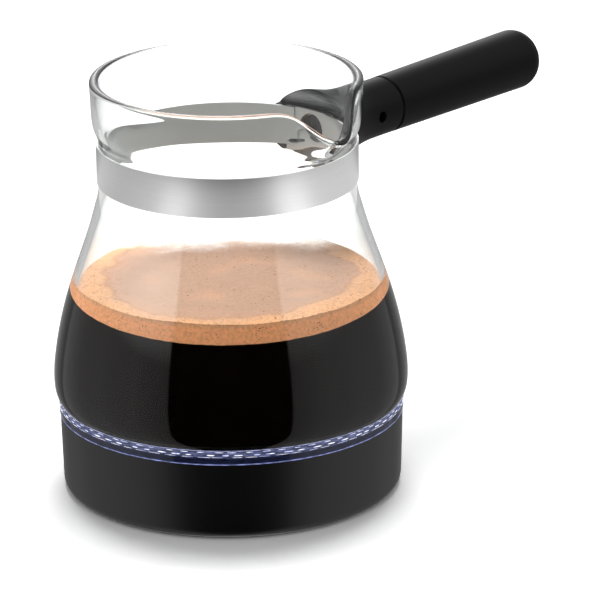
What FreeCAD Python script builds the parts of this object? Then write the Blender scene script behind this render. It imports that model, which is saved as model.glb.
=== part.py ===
import FreeCAD, Part
import math
import os
from FreeCAD import Vector

# Electric Turkish coffee maker: a glass jar with a pulled spout, bonded to a heated base.
# Millimetres. +Z is up and z = 0 is the plane the base stands on. The jar's axis is the
# Z axis, the handle points along +X and the spout along -Y.

# Base housing
HOUSING_HEIGHT = 24.2
HOUSING_TOP_RADIUS = 52.4
HOUSING_TAPER = 0.7
HOUSING_WALL = 3.2
HOUSING_FOOT_FILLET = 3.4
HOUSING_LEDGE_THICKNESS = 2.0
HOUSING_LEDGE_WIDTH = 8.6
WALL_OVERLAP = 0.4
EDGE_BREAK = 0.4

# Bottom cover and the round recess for the power coupling
COVER_THICKNESS = 3.0
COVER_INSET = 5.1
COVER_FIT = 0.2
COUPLER_RADIUS = 16.2
COUPLER_WALL = 2.2
COUPLER_DEPTH = 6.5
COVER_SCREW_INSET = 4.6
COVER_SCREW_ANGLES = (30, 150, 270)
COVER_SCREW_HEAD_RADIUS = 2.8
COVER_SCREW_HEAD_HEIGHT = 1.6
COVER_SCREW_RADIUS = 1.2
COVER_SCREW_LENGTH = 8.0
COVER_BOSS_RADIUS = 3.4
COVER_BOSS_HEIGHT = 6.0

# Lugs in the housing that carry the heated plate
LUG_ANGLES = (90, 210, 330)
LUG_WIDTH = 9.0
LUG_THICKNESS = 3.0
LUG_DROP = 4.2
STUD_INSET = 9.2
STUD_RADIUS = 3.0
HOUSING_SCREW_RADIUS = 1.5
HOUSING_SCREW_LENGTH = 9.5
HOUSING_SCREW_HEAD_RADIUS = 2.8
HOUSING_SCREW_HEAD_HEIGHT = 1.8

# Cross slot in a screw's head, as shares of the head's radius and height
CROSS_REACH = 0.6
CROSS_HALF_WIDTH = 0.12
CROSS_DEPTH = 0.5

# Light ring between the housing and the glass
LIGHT_RING_HEIGHT = 4.7
LIGHT_RING_STEP = 0.2
LIGHT_RING_FLARE = 0.2
LIGHT_RING_WALL = 0.9
LIGHT_RING_LEDGE = 2.6
LIGHT_RING_SPIGOT_DEPTH = 2.0
LIGHT_RING_SPIGOT_WALL = 1.5
LIGHT_RING_FIT = 0.3

# Lamp board
BOARD_FIT = 0.4
BOARD_WIDTH = 5.4
BOARD_THICKNESS = 1.2
CHIP_COUNT = 24
CHIP_INSET = 2.2
CHIP_DEPTH = 2.8
CHIP_WIDTH = 3.5
CHIP_HEIGHT = 1.4
RESISTOR_ANGLES = (45, 165, 285)
RESISTOR_RADIUS = 1.4
RESISTOR_LENGTH = 7.0
LEAD_RADIUS = 0.7
LEAD_BEND_RADIUS = 2.1
LEAD_ANGLES = (116, 122)

# Heated plate, its spreader and its element
PLATE_THICKNESS = 0.8
PLATE_RISE = 3.2
PLATE_FLANGE_WIDTH = 5.3
PLATE_FIT = 0.3
SPREADER_STUD_GAP = 1.5
SPREADER_THICKNESS = 2.5
SPREADER_SKIN = 0.7
ELEMENT_OFFSET = 0.25
ELEMENT_TUBE_RADIUS = 3.0
ELEMENT_GAP_HALF_ANGLE = 35.0
BEAD_LENGTH = 1.5
TERMINAL_RADIUS = 1.2
TERMINAL_REACH = 4.0
LINK_THICKNESS = 0.8
LINK_WIDTH = 4.0
FUSE_RADIUS = 2.0
FUSE_LENGTH = 11.0
FUSE_ANGLE = 150

# Glass jar
GLASS_WALL = 2.4
GLASS_FOOT_WALL = 2.1
BELLY_HEIGHT = 68.1
NECK_RADIUS = 39.0
NECK_BLEND = 3.5
NECK_ABOVE_BAND = 0.6
MOUTH_HEIGHT = 18.9
RIM_FLARE = 2.2
RIM_WALL = 2.9
GASKET_UNDER_GLASS = 1.3

# The belly's wall line: share of the way up to the neck, and share of the way out from the
# neck's radius to the foot's
BELLY_SHARES = ((0.021, 1.058), (0.060, 1.098), (0.148, 1.087), (0.266, 1.000), (0.398, 0.862),
                (0.530, 0.667), (0.670, 0.420), (0.794, 0.210), (0.883, 0.094))

# The mouth's wall line: share of the way up to the rim's bead, and share of the rim's flare
MOUTH_SHARES = ((0, 0), (0.1, 0), (0.22, 0.62), (0.45, 0.84), (0.75, 0.88))
BEAD_SHOULDER = 0.2
BEAD_CROWN = 0.1

# Spout, pulled out of the rim towards -Y
SPOUT_HALF_ANGLE = 38.0
SPOUT_SPANS = 16
SPOUT_PUSH = 5.2
SPOUT_PUSH_SHARPNESS = 3.6
SPOUT_DIP = 10.8
SPOUT_DIP_SHARPNESS = 2.6
SEWING_TOLERANCE = 0.002

# Contents: brewed coffee under its foam
COFFEE_DEPTH = 30.2
FOAM_DEPTH = 5.8

# Steel band round the neck and the bracket that takes the handle
BAND_HEIGHT = 12.0
BAND_CLEARANCE = 0.05
BAND_THICKNESS = 0.5
BAND_GAP_HALF_ANGLE = 9.5
BRACKET_THICKNESS = 0.7
BRACKET_DROP = 2.4
BRACKET_HALF_ANGLE = 14.0
BRACKET_DISH_RADIUS = 5.6
BRACKET_DISH_DEPTH = 2.8
BRACKET_SLOT_OFFSET = 6.7
BRACKET_SLOT_DROP = 4.4
BRACKET_SLOT_LENGTH = 2.6
BRACKET_SLOT_HEIGHT = 1.9

# Handle
COLLAR_REACH = 32.7
SADDLE_BLANK_INSET = 2.0
COLLAR_RADIUS = 8.9
SADDLE_RADIUS = 12.3
SADDLE_HALF_WIDTH = 15.4
SADDLE_SECTIONS = 7
SADDLE_CLEARANCE = 0.5
WASHER_THICKNESS = 0.6
WASHER_RADIUS = 8.3
GRIP_LENGTH = 70.0
GRIP_START_RADIUS = 8.95
GRIP_END_RADIUS = 9.6
GRIP_END_FILLET = 6.5
TIE_SCREW_RADIUS = 2.0
TIE_SCREW_HEAD_RADIUS = 4.2
TIE_SCREW_HEAD_HEIGHT = 1.9
TIE_SCREW_LENGTH = 46.0
TIE_SCREW_FIT = 0.1
INSERT_RADIUS = 3.6
INSERT_LENGTH = 16.0
INSERT_START = 2.0
LOCK_HOLE_RADIUS = 1.8
LOCK_HOLE_BEFORE_SEAM = 10.0
LOCK_SCREW_LENGTH = 3.6
INSERT_END_ROOM = 1.0

# The collar's flare: share of the way along it, and share of the saddle's swell
FLARE_SHARES = ((0, 1.03), (0.18, 0.95), (0.36, 0.62), (0.58, 0.25), (0.8, 0.05), (1, 0))

# Control: connector, thermostat block and switch
CONTROL_STEP = 2.8
CONTROL_HEIGHT = 11.2
CONTROL_AIR_GAP = 1.5
CONTROL_BOSS_WIDTH = 9.0
SHROUD_STEP = 0.8
SHROUD_WALL = 2.3
SHROUD_FLOOR = 2.0
PIN_RADIUS = 2.4
PIN_DEPTH = 6.0
CONTACT_SETBACK = 2.0
CONTACT_RINGS = (("inner_ring_contact", 6.2), ("outer_ring_contact", 11.6))
CONTACT_WALL = 0.8
CONTACT_SEAT = 0.8
CONTROL_SCREW_INSET = 2.2
CONTROL_SCREW_ANGLES = (60, 180, 300)
CONTROL_SCREW_RADIUS = 1.2
CONTROL_SCREW_HEAD_RADIUS = 1.9
CONTROL_SCREW_HEAD_HEIGHT = 1.6
BIMETAL_RADIUS = 6.4
BIMETAL_THICKNESS = 0.5
BIMETAL_PLACES = ((-5.5, 12.5), (-5.5, -12.5))
BIMETAL_FIT = 0.1

# Switch lever, its pin and the plunger it lifts
LEVER_PIVOT_INSET = 11.2
LEVER_PIVOT_DROP = 2.0
LEVER_SWING = 12.0
LEVER_HALF_WIDTH = 7.9
LEVER_SIDE_GAP = 0.3
LEVER_HUB_RADIUS = 3.4
LEVER_PIN_RADIUS = 1.5
LEVER_PIN_FIT = 0.05
LEVER_NOSE_REACH = 2.5
LEVER_NOSE_HALF_WIDTH = 2.8
LEVER_NOSE_TOP = 1.0
LEVER_NOSE_THICKNESS = 2.0
LEVER_ARM_THICKNESS = 2.4
PADDLE_STANDOFF = 2.1
PADDLE_LENGTH = 9.5
PADDLE_THICKNESS = 3.6
PADDLE_ROOT = 1.0
PADDLE_EDGE_FILLET = 0.9
LEVER_EAR_THICKNESS = 2.2
LEVER_EAR_REACH = 3.0
SLOT_ROOM_BELOW = 1.1
SLOT_ROOM_ABOVE = 0.7
PLUNGER_INSET = 2.0
PLUNGER_RADIUS = 2.0
PLUNGER_FIT = 0.05
PLUNGER_GAP = 0.3
PLUNGER_LENGTH = 8.6
BLADE_THICKNESS = 0.4
BLADE_SPACING = 1.2
BLADE_HALF_WIDTH = 1.8
BLADE_ROOT = 2.0
BLADE_TIP_GAP = 1.0
CHAMBER_LENGTH = 16.7
CHAMBER_ROOM = 1.0
CHAMBER_WALL = 1.5
CHAMBER_ROOF = 1.2

# Radii that follow from the sizes above
HOUSING_LOW_RADIUS = HOUSING_TOP_RADIUS - HOUSING_TAPER
HOUSING_INNER_RADIUS = HOUSING_TOP_RADIUS - HOUSING_WALL
COVER_RADIUS = HOUSING_LOW_RADIUS - COVER_INSET
COVER_SCREW_CIRCLE = COVER_RADIUS - COVER_SCREW_INSET
HOUSING_LEDGE_RADIUS = COVER_RADIUS - HOUSING_LEDGE_WIDTH
STUD_CIRCLE = HOUSING_INNER_RADIUS - STUD_INSET
BOARD_OUTER_RADIUS = HOUSING_INNER_RADIUS - BOARD_FIT
BOARD_INNER_RADIUS = BOARD_OUTER_RADIUS - BOARD_WIDTH
CHIP_CIRCLE = BOARD_INNER_RADIUS + CHIP_INSET
LIGHT_RING_FOOT_RADIUS = HOUSING_TOP_RADIUS + LIGHT_RING_STEP
LIGHT_RING_TOP_RADIUS = LIGHT_RING_FOOT_RADIUS + LIGHT_RING_FLARE
GLASS_FOOT_RADIUS = LIGHT_RING_TOP_RADIUS
PLATE_FLANGE_RADIUS = LIGHT_RING_TOP_RADIUS - LIGHT_RING_WALL - PLATE_FIT
PLATE_RADIUS = PLATE_FLANGE_RADIUS - PLATE_FLANGE_WIDTH
SPREADER_RADIUS = STUD_CIRCLE - STUD_RADIUS - SPREADER_STUD_GAP
SHROUD_RADIUS = COUPLER_RADIUS + COUPLER_WALL + SHROUD_STEP
CONTROL_RADIUS = SHROUD_RADIUS + CONTROL_STEP
ELEMENT_CIRCLE = (CONTROL_RADIUS + SPREADER_RADIUS) / 2 + ELEMENT_OFFSET
CONTROL_SCREW_CIRCLE = SHROUD_RADIUS - SHROUD_WALL - CONTROL_SCREW_INSET
RIM_RADIUS = NECK_RADIUS + RIM_FLARE

# Levels and places that follow from the sizes above
LEDGE_TOP = COVER_THICKNESS + HOUSING_LEDGE_THICKNESS
LUG_TOP = HOUSING_HEIGHT - LUG_DROP
LUG_BOTTOM = LUG_TOP - LUG_THICKNESS
FLANGE_BOTTOM = HOUSING_HEIGHT + LIGHT_RING_LEDGE
FLANGE_TOP = FLANGE_BOTTOM + PLATE_THICKNESS
GLASS_FOOT = FLANGE_TOP + GASKET_UNDER_GLASS
NECK_BOTTOM = GLASS_FOOT + BELLY_HEIGHT
NECK_TOP = NECK_BOTTOM + BAND_HEIGHT + NECK_ABOVE_BAND
RIM_HEIGHT = NECK_TOP + MOUTH_HEIGHT
PLATE_TOP = FLANGE_BOTTOM + PLATE_RISE
PLATE_UNDERSIDE = PLATE_TOP - PLATE_THICKNESS
SPREADER_BOTTOM = PLATE_UNDERSIDE - SPREADER_THICKNESS
COFFEE_LEVEL = PLATE_TOP + COFFEE_DEPTH
FOAM_TOP = COFFEE_LEVEL + FOAM_DEPTH
BAND_INNER_RADIUS = NECK_RADIUS + BAND_CLEARANCE
BAND_OUTER_RADIUS = BAND_INNER_RADIUS + BAND_THICKNESS
BRACKET_OUTER_RADIUS = BAND_OUTER_RADIUS + BRACKET_THICKNESS
HANDLE_Z = NECK_BOTTOM + BAND_HEIGHT / 2
BAND_BOTTOM = HANDLE_Z - BAND_HEIGHT / 2
BAND_TOP = HANDLE_Z + BAND_HEIGHT / 2
BRACKET_BOTTOM = BAND_BOTTOM - BRACKET_DROP
DISH_END = BRACKET_OUTER_RADIUS + BRACKET_DISH_DEPTH
HEAD_SEAT = DISH_END - BRACKET_THICKNESS
SEAM_DISTANCE = NECK_RADIUS + COLLAR_REACH
GRIP_START = SEAM_DISTANCE + WASHER_THICKNESS
GRIP_END = GRIP_START + GRIP_LENGTH
SHROUD_BOTTOM = COUPLER_DEPTH
CONTROL_TOP = SPREADER_BOTTOM - CONTROL_AIR_GAP
CONTROL_BOTTOM = CONTROL_TOP - CONTROL_HEIGHT
SHROUD_FLOOR_BOTTOM = CONTROL_BOTTOM - SHROUD_FLOOR
CONTACT_TIP = COUPLER_DEPTH + CONTACT_SETBACK
PIN_TOP = CONTROL_BOTTOM + PIN_DEPTH
LEVER_PIVOT_X = HOUSING_INNER_RADIUS - LEVER_PIVOT_INSET
LEVER_PIVOT_Z = CONTROL_BOTTOM - LEVER_PIVOT_DROP
LEVER_PIN_HALF_LENGTH = LEVER_HALF_WIDTH + LEVER_SIDE_GAP + LEVER_EAR_THICKNESS
PADDLE_START_X = HOUSING_TOP_RADIUS + PADDLE_STANDOFF
PADDLE_END_X = PADDLE_START_X + PADDLE_LENGTH
LEVER_RISE_AT_WALL = (HOUSING_TOP_RADIUS - LEVER_PIVOT_X) * math.tan(math.radians(LEVER_SWING))
SLOT_BOTTOM = LEVER_PIVOT_Z - LEVER_ARM_THICKNESS / 2 - SLOT_ROOM_BELOW
SLOT_TOP = LEVER_PIVOT_Z + LEVER_ARM_THICKNESS / 2 + LEVER_RISE_AT_WALL + SLOT_ROOM_ABOVE
PLUNGER_X = CONTROL_RADIUS + PLUNGER_INSET
LEVER_NOSE_X = PLUNGER_X - LEVER_NOSE_REACH
PLUNGER_TIP = LEVER_PIVOT_Z + LEVER_NOSE_TOP + PLUNGER_GAP
PLUNGER_TOP = PLUNGER_TIP + PLUNGER_LENGTH
BLADE_Z = PLUNGER_TOP + PLUNGER_GAP
CHAMBER_END = PLUNGER_X + PLUNGER_RADIUS + CHAMBER_ROOM
CHAMBER_START = CHAMBER_END - CHAMBER_LENGTH
CHAMBER_TOP = CONTROL_TOP - CHAMBER_ROOF

ORIGIN = Vector(0, 0, 0)
UP = Vector(0, 0, 1)
ALONG_X = Vector(1, 0, 0)
ALONG_Y = Vector(0, 1, 0)
NEAR = 0.01

os.makedirs("parts", exist_ok=True)


def save(name, shape):
    solids = shape.Solids
    node = solids[0] if len(solids) == 1 else Part.makeCompound(solids)
    node.exportStep("parts/" + name + ".step")
    print(name, len(solids), "valid" if node.isValid() else "NOT VALID", round(node.Volume, 2))


def turned(outline):
    """A solid turned about the Z axis from (radius, height) corners."""
    corners = [Vector(radius, 0, height) for radius, height in outline]
    face = Part.Face(Part.makePolygon(corners + [corners[0]]))
    return face.revolve(ORIGIN, UP, 360)


def disc(radius, bottom, top, x=0.0, y=0.0):
    return Part.makeCylinder(radius, top - bottom, Vector(x, y, bottom), UP)


def ring(inner, outer, bottom, top):
    return disc(outer, bottom, top).cut(disc(inner, bottom, top))


def rod(radius, start, end):
    """A round bar between two points."""
    direction = end.sub(start)
    return Part.makeCylinder(radius, direction.Length, start, direction)


def block(x_range, y_range, z_range):
    size = [high - low for low, high in (x_range, y_range, z_range)]
    return Part.makeBox(*size, Vector(x_range[0], y_range[0], z_range[0]))


def at_angle(shape, angle):
    copy = shape.copy()
    copy.rotate(ORIGIN, UP, angle)
    return copy


def around(shape, angles):
    return [at_angle(shape, angle) for angle in angles]


def joined(shapes):
    return shapes[0].fuse(list(shapes[1:])) if len(shapes) > 1 else shapes[0]


def smooth_edge(poles):
    """A smooth line that starts and ends along its first and last legs."""
    curve = Part.BSplineCurve()
    curve.buildFromPoles(poles, False, 3)
    return curve.toShape()


# Glass jar

def line(start, end):
    return Part.makeLine(start, end)


def belly_edge(inset, foot_inset):
    """The belly's wall line from the foot to the neck, moved inwards by inset."""
    poles = [Vector(GLASS_FOOT_RADIUS - foot_inset, 0, GLASS_FOOT)]
    poles += [Vector(NECK_RADIUS + (GLASS_FOOT_RADIUS - NECK_RADIUS) * swell - inset, 0,
                     GLASS_FOOT + BELLY_HEIGHT * up) for up, swell in BELLY_SHARES]
    poles += [Vector(NECK_RADIUS - inset, 0, NECK_BOTTOM - NECK_BLEND),
              Vector(NECK_RADIUS - inset, 0, NECK_BOTTOM)]
    return smooth_edge(poles)


def mouth_edge():
    """One line up the outer wall, over the rim and down the inner wall, above the neck."""
    bead = RIM_WALL / 2
    height = MOUTH_HEIGHT - bead
    outer = [Vector(NECK_RADIUS + RIM_FLARE * bulge, 0, NECK_TOP + height * up)
             for up, bulge in MOUTH_SHARES]
    inner = [pole - Vector(GLASS_WALL, 0, 0) for pole in outer]
    rim = [Vector(RIM_RADIUS, 0, RIM_HEIGHT - bead),
           Vector(RIM_RADIUS, 0, RIM_HEIGHT - BEAD_SHOULDER * bead),
           Vector(RIM_RADIUS - bead, 0, RIM_HEIGHT + BEAD_CROWN * bead),
           Vector(RIM_RADIUS - RIM_WALL, 0, RIM_HEIGHT - BEAD_SHOULDER * bead),
           Vector(RIM_RADIUS - RIM_WALL, 0, RIM_HEIGHT - bead)]
    return smooth_edge(outer + rim + inner[::-1])


def pulled(point):
    """Where a point of the plain mouth goes when the spout is drawn out and down."""
    angle = math.degrees(math.atan2(point.y, point.x)) + 90
    share = min(abs(angle) / SPOUT_HALF_ANGLE, 1.0)
    pull = 0.5 + 0.5 * math.cos(math.pi * share)
    up = (point.z - NECK_TOP) / (MOUTH_HEIGHT - RIM_WALL / 2)
    up = min(max(up, 0.0), 1.0)
    radius = math.hypot(point.x, point.y)
    stretch = 1 + SPOUT_PUSH * pull ** SPOUT_PUSH_SHARPNESS * up ** 2 / radius
    dip = SPOUT_DIP * pull ** SPOUT_DIP_SHARPNESS * up
    return Vector(point.x * stretch, point.y * stretch, point.z - dip)


def spout_face(start, sweep):
    """The mouth's skin across the spout, with its side and lower edges left as they were."""
    plain = at_angle(mouth_edge(), start).revolve(ORIGIN, UP, sweep).toNurbs()
    surface = plain.Faces[0].Surface
    knots = surface.getUKnots()
    for i in range(1, SPOUT_SPANS):
        surface.insertUKnot(knots[0] + (knots[-1] - knots[0]) * i / SPOUT_SPANS, 1, SEWING_TOLERANCE)
    for column in range(3, surface.NbUPoles - 1):
        for row in range(1, surface.NbVPoles + 1):
            surface.setPole(column, row, pulled(surface.getPole(column, row)))
    return surface.toShape()


def jar():
    neck_inner = NECK_RADIUS - GLASS_WALL
    wall_edges = [
        line(Vector(GLASS_FOOT_RADIUS - GLASS_FOOT_WALL, 0, GLASS_FOOT),
             Vector(GLASS_FOOT_RADIUS, 0, GLASS_FOOT)),
        belly_edge(0.0, 0.0),
        line(Vector(NECK_RADIUS, 0, NECK_BOTTOM), Vector(NECK_RADIUS, 0, NECK_TOP)),
        line(Vector(neck_inner, 0, NECK_BOTTOM), Vector(neck_inner, 0, NECK_TOP)),
        belly_edge(GLASS_WALL, GLASS_FOOT_WALL),
    ]
    spout_start = -SPOUT_HALF_ANGLE - 90
    spout_sweep = 2 * SPOUT_HALF_ANGLE
    plain_start = spout_start + spout_sweep
    plain_sweep = 360 - spout_sweep
    faces = [at_angle(mouth_edge(), plain_start).revolve(ORIGIN, UP, plain_sweep),
             spout_face(spout_start, spout_sweep)]
    for edge in wall_edges:
        faces.append(at_angle(edge, plain_start).revolve(ORIGIN, UP, plain_sweep))
        faces.append(at_angle(edge, spout_start).revolve(ORIGIN, UP, spout_sweep))
    skin = Part.Compound(faces)
    skin.sewShape(SEWING_TOLERANCE)
    wall = Part.Solid(skin.Shells[0])
    return wall if wall.Volume > 0 else wall.reversed()


def jar_inside(bottom, top):
    """The space inside the belly between two levels."""
    inner = belly_edge(GLASS_WALL, GLASS_FOOT_WALL)
    neck_inner = NECK_RADIUS - GLASS_WALL
    edges = [
        inner,
        line(Vector(neck_inner, 0, NECK_BOTTOM), Vector(0, 0, NECK_BOTTOM)),
        line(Vector(0, 0, NECK_BOTTOM), Vector(0, 0, GLASS_FOOT)),
        line(Vector(0, 0, GLASS_FOOT), Vector(GLASS_FOOT_RADIUS - GLASS_FOOT_WALL, 0, GLASS_FOOT)),
    ]
    face = Part.Face(Part.Wire(Part.__sortEdges__(edges)))
    room = face.revolve(ORIGIN, UP, 360)
    return room.common(disc(2 * GLASS_FOOT_RADIUS, bottom, top))


glass_jar = jar()
save("glass_jar", glass_jar)
save("coffee", jar_inside(PLATE_TOP, COFFEE_LEVEL))
save("coffee_foam", jar_inside(COFFEE_LEVEL, FOAM_TOP))


# Gasket that bonds the glass foot to the heated plate

gasket = ring(PLATE_RADIUS, LIGHT_RING_TOP_RADIUS - LIGHT_RING_WALL, FLANGE_TOP, PLATE_TOP)
above_foot = ring(GLASS_FOOT_RADIUS - GLASS_FOOT_WALL, RIM_HEIGHT, GLASS_FOOT, PLATE_TOP)
save("jar_gasket", gasket.cut(above_foot).cut(glass_jar))


# Light ring

def light_ring():
    wall_inner = LIGHT_RING_TOP_RADIUS - LIGHT_RING_WALL
    spigot_outer = HOUSING_INNER_RADIUS - LIGHT_RING_FIT
    spigot_inner = spigot_outer - LIGHT_RING_SPIGOT_WALL
    top = HOUSING_HEIGHT + LIGHT_RING_HEIGHT
    return turned((
        (spigot_inner, HOUSING_HEIGHT - LIGHT_RING_SPIGOT_DEPTH),
        (spigot_outer, HOUSING_HEIGHT - LIGHT_RING_SPIGOT_DEPTH),
        (spigot_outer, HOUSING_HEIGHT),
        (LIGHT_RING_FOOT_RADIUS, HOUSING_HEIGHT),
        (LIGHT_RING_TOP_RADIUS, top),
        (wall_inner, top),
        (wall_inner, FLANGE_BOTTOM),
        (spigot_inner, FLANGE_BOTTOM),
    ))


save("light_ring", light_ring())


# Housing

def lever_ear(side):
    inner = LEVER_HALF_WIDTH + LEVER_SIDE_GAP
    outer = inner + LEVER_EAR_THICKNESS
    y_range = (inner, outer) if side > 0 else (-outer, -inner)
    x_range = (LEVER_PIVOT_X - LEVER_EAR_REACH, HOUSING_INNER_RADIUS + WALL_OVERLAP)
    return block(x_range, y_range, (COVER_THICKNESS, LEVER_PIVOT_Z + LEVER_HUB_RADIUS))


def housing():
    outer = turned((
        (0, 0),
        (HOUSING_LOW_RADIUS, 0),
        (HOUSING_TOP_RADIUS, HOUSING_HEIGHT),
        (0, HOUSING_HEIGHT),
    ))
    foot_edge = [edge for edge in outer.Edges
                 if edge.BoundBox.ZMax < NEAR and edge.Length > HOUSING_LOW_RADIUS]
    outer = outer.makeFillet(HOUSING_FOOT_FILLET, foot_edge)
    room = disc(HOUSING_INNER_RADIUS, LEDGE_TOP, HOUSING_HEIGHT)
    throat = disc(HOUSING_LEDGE_RADIUS, 0, LEDGE_TOP)
    cover_seat = disc(COVER_RADIUS + COVER_FIT, 0, COVER_THICKNESS)
    shell = outer.cut([room, throat, cover_seat])

    lug = block((STUD_CIRCLE - STUD_RADIUS, HOUSING_INNER_RADIUS + WALL_OVERLAP),
                (-LUG_WIDTH / 2, LUG_WIDTH / 2), (LUG_BOTTOM, LUG_TOP))
    lug = lug.cut(disc(HOUSING_SCREW_RADIUS, LUG_BOTTOM, LUG_TOP, STUD_CIRCLE))
    boss = disc(COVER_BOSS_RADIUS, COVER_THICKNESS, LEDGE_TOP + COVER_BOSS_HEIGHT, COVER_SCREW_CIRCLE)
    shell = joined([shell] + around(lug, LUG_ANGLES) + around(boss, COVER_SCREW_ANGLES)
                   + [lever_ear(1), lever_ear(-1)])

    boss_bore = disc(COVER_SCREW_RADIUS, COVER_THICKNESS,
                     COVER_SCREW_HEAD_HEIGHT + COVER_SCREW_LENGTH + COVER_FIT, COVER_SCREW_CIRCLE)
    slot_half = LEVER_HALF_WIDTH + LEVER_SIDE_GAP
    slot = block((HOUSING_INNER_RADIUS - SLOT_ROOM_BELOW, HOUSING_TOP_RADIUS + PADDLE_STANDOFF),
                 (-slot_half, slot_half), (SLOT_BOTTOM, SLOT_TOP))
    pin_bore = rod(LEVER_PIN_RADIUS, Vector(LEVER_PIVOT_X, -LEVER_PIN_HALF_LENGTH, LEVER_PIVOT_Z),
                   Vector(LEVER_PIVOT_X, LEVER_PIN_HALF_LENGTH, LEVER_PIVOT_Z))
    return shell.cut(around(boss_bore, COVER_SCREW_ANGLES) + [slot, pin_bore])


save("base_housing", housing())


# Bottom cover and its screws

def bottom_cover():
    plate = ring(COUPLER_RADIUS, COVER_RADIUS, 0, COVER_THICKNESS)
    tube = ring(COUPLER_RADIUS, COUPLER_RADIUS + COUPLER_WALL, 0, COUPLER_DEPTH)
    head_room = disc(COVER_SCREW_HEAD_RADIUS + COVER_FIT, 0,
                     COVER_SCREW_HEAD_HEIGHT + COVER_FIT, COVER_SCREW_CIRCLE)
    hole = disc(COVER_SCREW_RADIUS + COVER_FIT, 0, COVER_THICKNESS, COVER_SCREW_CIRCLE)
    cuts = around(head_room, COVER_SCREW_ANGLES) + around(hole, COVER_SCREW_ANGLES)
    return plate.fuse(tube).cut(cuts).removeSplitter()


def screw_up(x, head_bottom, head_radius, head_height, shank_radius, shank_length):
    """A pan-head screw driven upwards, with a cross slot in its head."""
    seat = head_bottom + head_height
    head = disc(head_radius, head_bottom, seat, x)
    slot_half = head_radius * CROSS_REACH
    slot_half_width = head_radius * CROSS_HALF_WIDTH
    slot_depth = (head_bottom, head_bottom + head_height * CROSS_DEPTH)
    for x_half, y_half in ((slot_half, slot_half_width), (slot_half_width, slot_half)):
        head = head.cut(block((x - x_half, x + x_half), (-y_half, y_half), slot_depth))
    return head.fuse(disc(shank_radius, seat, seat + shank_length, x))


save("bottom_cover", bottom_cover())
cover_screw = screw_up(COVER_SCREW_CIRCLE, COVER_FIT, COVER_SCREW_HEAD_RADIUS,
                       COVER_SCREW_HEAD_HEIGHT, COVER_SCREW_RADIUS, COVER_SCREW_LENGTH)
save("cover_screws", Part.makeCompound(around(cover_screw, COVER_SCREW_ANGLES)))


# Heated plate, spreader, element and what hangs on them

def heating_plate():
    skirt_inner = PLATE_RADIUS - PLATE_THICKNESS
    return turned((
        (0, PLATE_TOP),
        (PLATE_RADIUS, PLATE_TOP),
        (PLATE_RADIUS, FLANGE_TOP),
        (PLATE_FLANGE_RADIUS, FLANGE_TOP),
        (PLATE_FLANGE_RADIUS, FLANGE_BOTTOM),
        (skirt_inner, FLANGE_BOTTOM),
        (skirt_inner, PLATE_UNDERSIDE),
        (0, PLATE_UNDERSIDE),
    ))


save("heating_plate", heating_plate())

spreader_screw_end = PLATE_UNDERSIDE - SPREADER_SKIN
spreader = disc(SPREADER_RADIUS, SPREADER_BOTTOM, PLATE_UNDERSIDE)
spreader_holes = around(disc(CONTROL_SCREW_RADIUS, SPREADER_BOTTOM, spreader_screw_end,
                             CONTROL_SCREW_CIRCLE), CONTROL_SCREW_ANGLES)
save("heat_spreader", spreader.cut(spreader_holes))

stud_bore_top = LUG_BOTTOM + HOUSING_SCREW_LENGTH
stud = disc(STUD_RADIUS, LUG_TOP, PLATE_UNDERSIDE, STUD_CIRCLE)
stud = stud.cut(disc(HOUSING_SCREW_RADIUS, LUG_TOP, stud_bore_top, STUD_CIRCLE))
save("plate_studs", Part.makeCompound(around(stud, LUG_ANGLES)))
housing_screw = screw_up(STUD_CIRCLE, LUG_BOTTOM - HOUSING_SCREW_HEAD_HEIGHT,
                         HOUSING_SCREW_HEAD_RADIUS, HOUSING_SCREW_HEAD_HEIGHT,
                         HOUSING_SCREW_RADIUS, HOUSING_SCREW_LENGTH)
save("housing_screws", Part.makeCompound(around(housing_screw, LUG_ANGLES)))

element_z = SPREADER_BOTTOM - ELEMENT_TUBE_RADIUS
element = Part.makeTorus(ELEMENT_CIRCLE, ELEMENT_TUBE_RADIUS, Vector(0, 0, element_z), UP,
                         0, 360, 360 - 2 * ELEMENT_GAP_HALF_ANGLE)
save("heating_element", at_angle(element, ELEMENT_GAP_HALF_ANGLE))


def element_end(side):
    """The end point of the element's tube and the direction it points in."""
    angle = math.radians(ELEMENT_GAP_HALF_ANGLE)
    point = Vector(ELEMENT_CIRCLE * math.cos(angle), side * ELEMENT_CIRCLE * math.sin(angle), element_z)
    direction = Vector(math.sin(angle), -side * math.cos(angle), 0)
    return point, direction


beads = []
terminals = []
links = []
for side in (1, -1):
    end_point, outwards = element_end(side)
    bead_end = end_point + outwards * BEAD_LENGTH
    corner = end_point + outwards * TERMINAL_REACH
    foot = Vector(corner.x, corner.y, LUG_BOTTOM)
    beads.append(rod(ELEMENT_TUBE_RADIUS, end_point, bead_end))
    elbow = Part.makeSphere(TERMINAL_RADIUS, corner)
    terminals.append(joined([rod(TERMINAL_RADIUS, bead_end, corner), elbow,
                             rod(TERMINAL_RADIUS, corner, foot)]))
    terminal_circle = math.hypot(corner.x, corner.y)
    link = block((CONTROL_RADIUS - LINK_THICKNESS, terminal_circle + TERMINAL_RADIUS),
                 (-LINK_WIDTH / 2, LINK_WIDTH / 2), (LUG_BOTTOM - LINK_THICKNESS, LUG_BOTTOM))
    link = at_angle(link, math.degrees(math.atan2(corner.y, corner.x)))
    links.append(link.cut(disc(CONTROL_RADIUS, CONTROL_BOTTOM, CONTROL_TOP)))
save("terminal_beads", Part.makeCompound(beads))
save("element_terminals", Part.makeCompound(terminals))
save("heater_links", Part.makeCompound(links))

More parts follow.
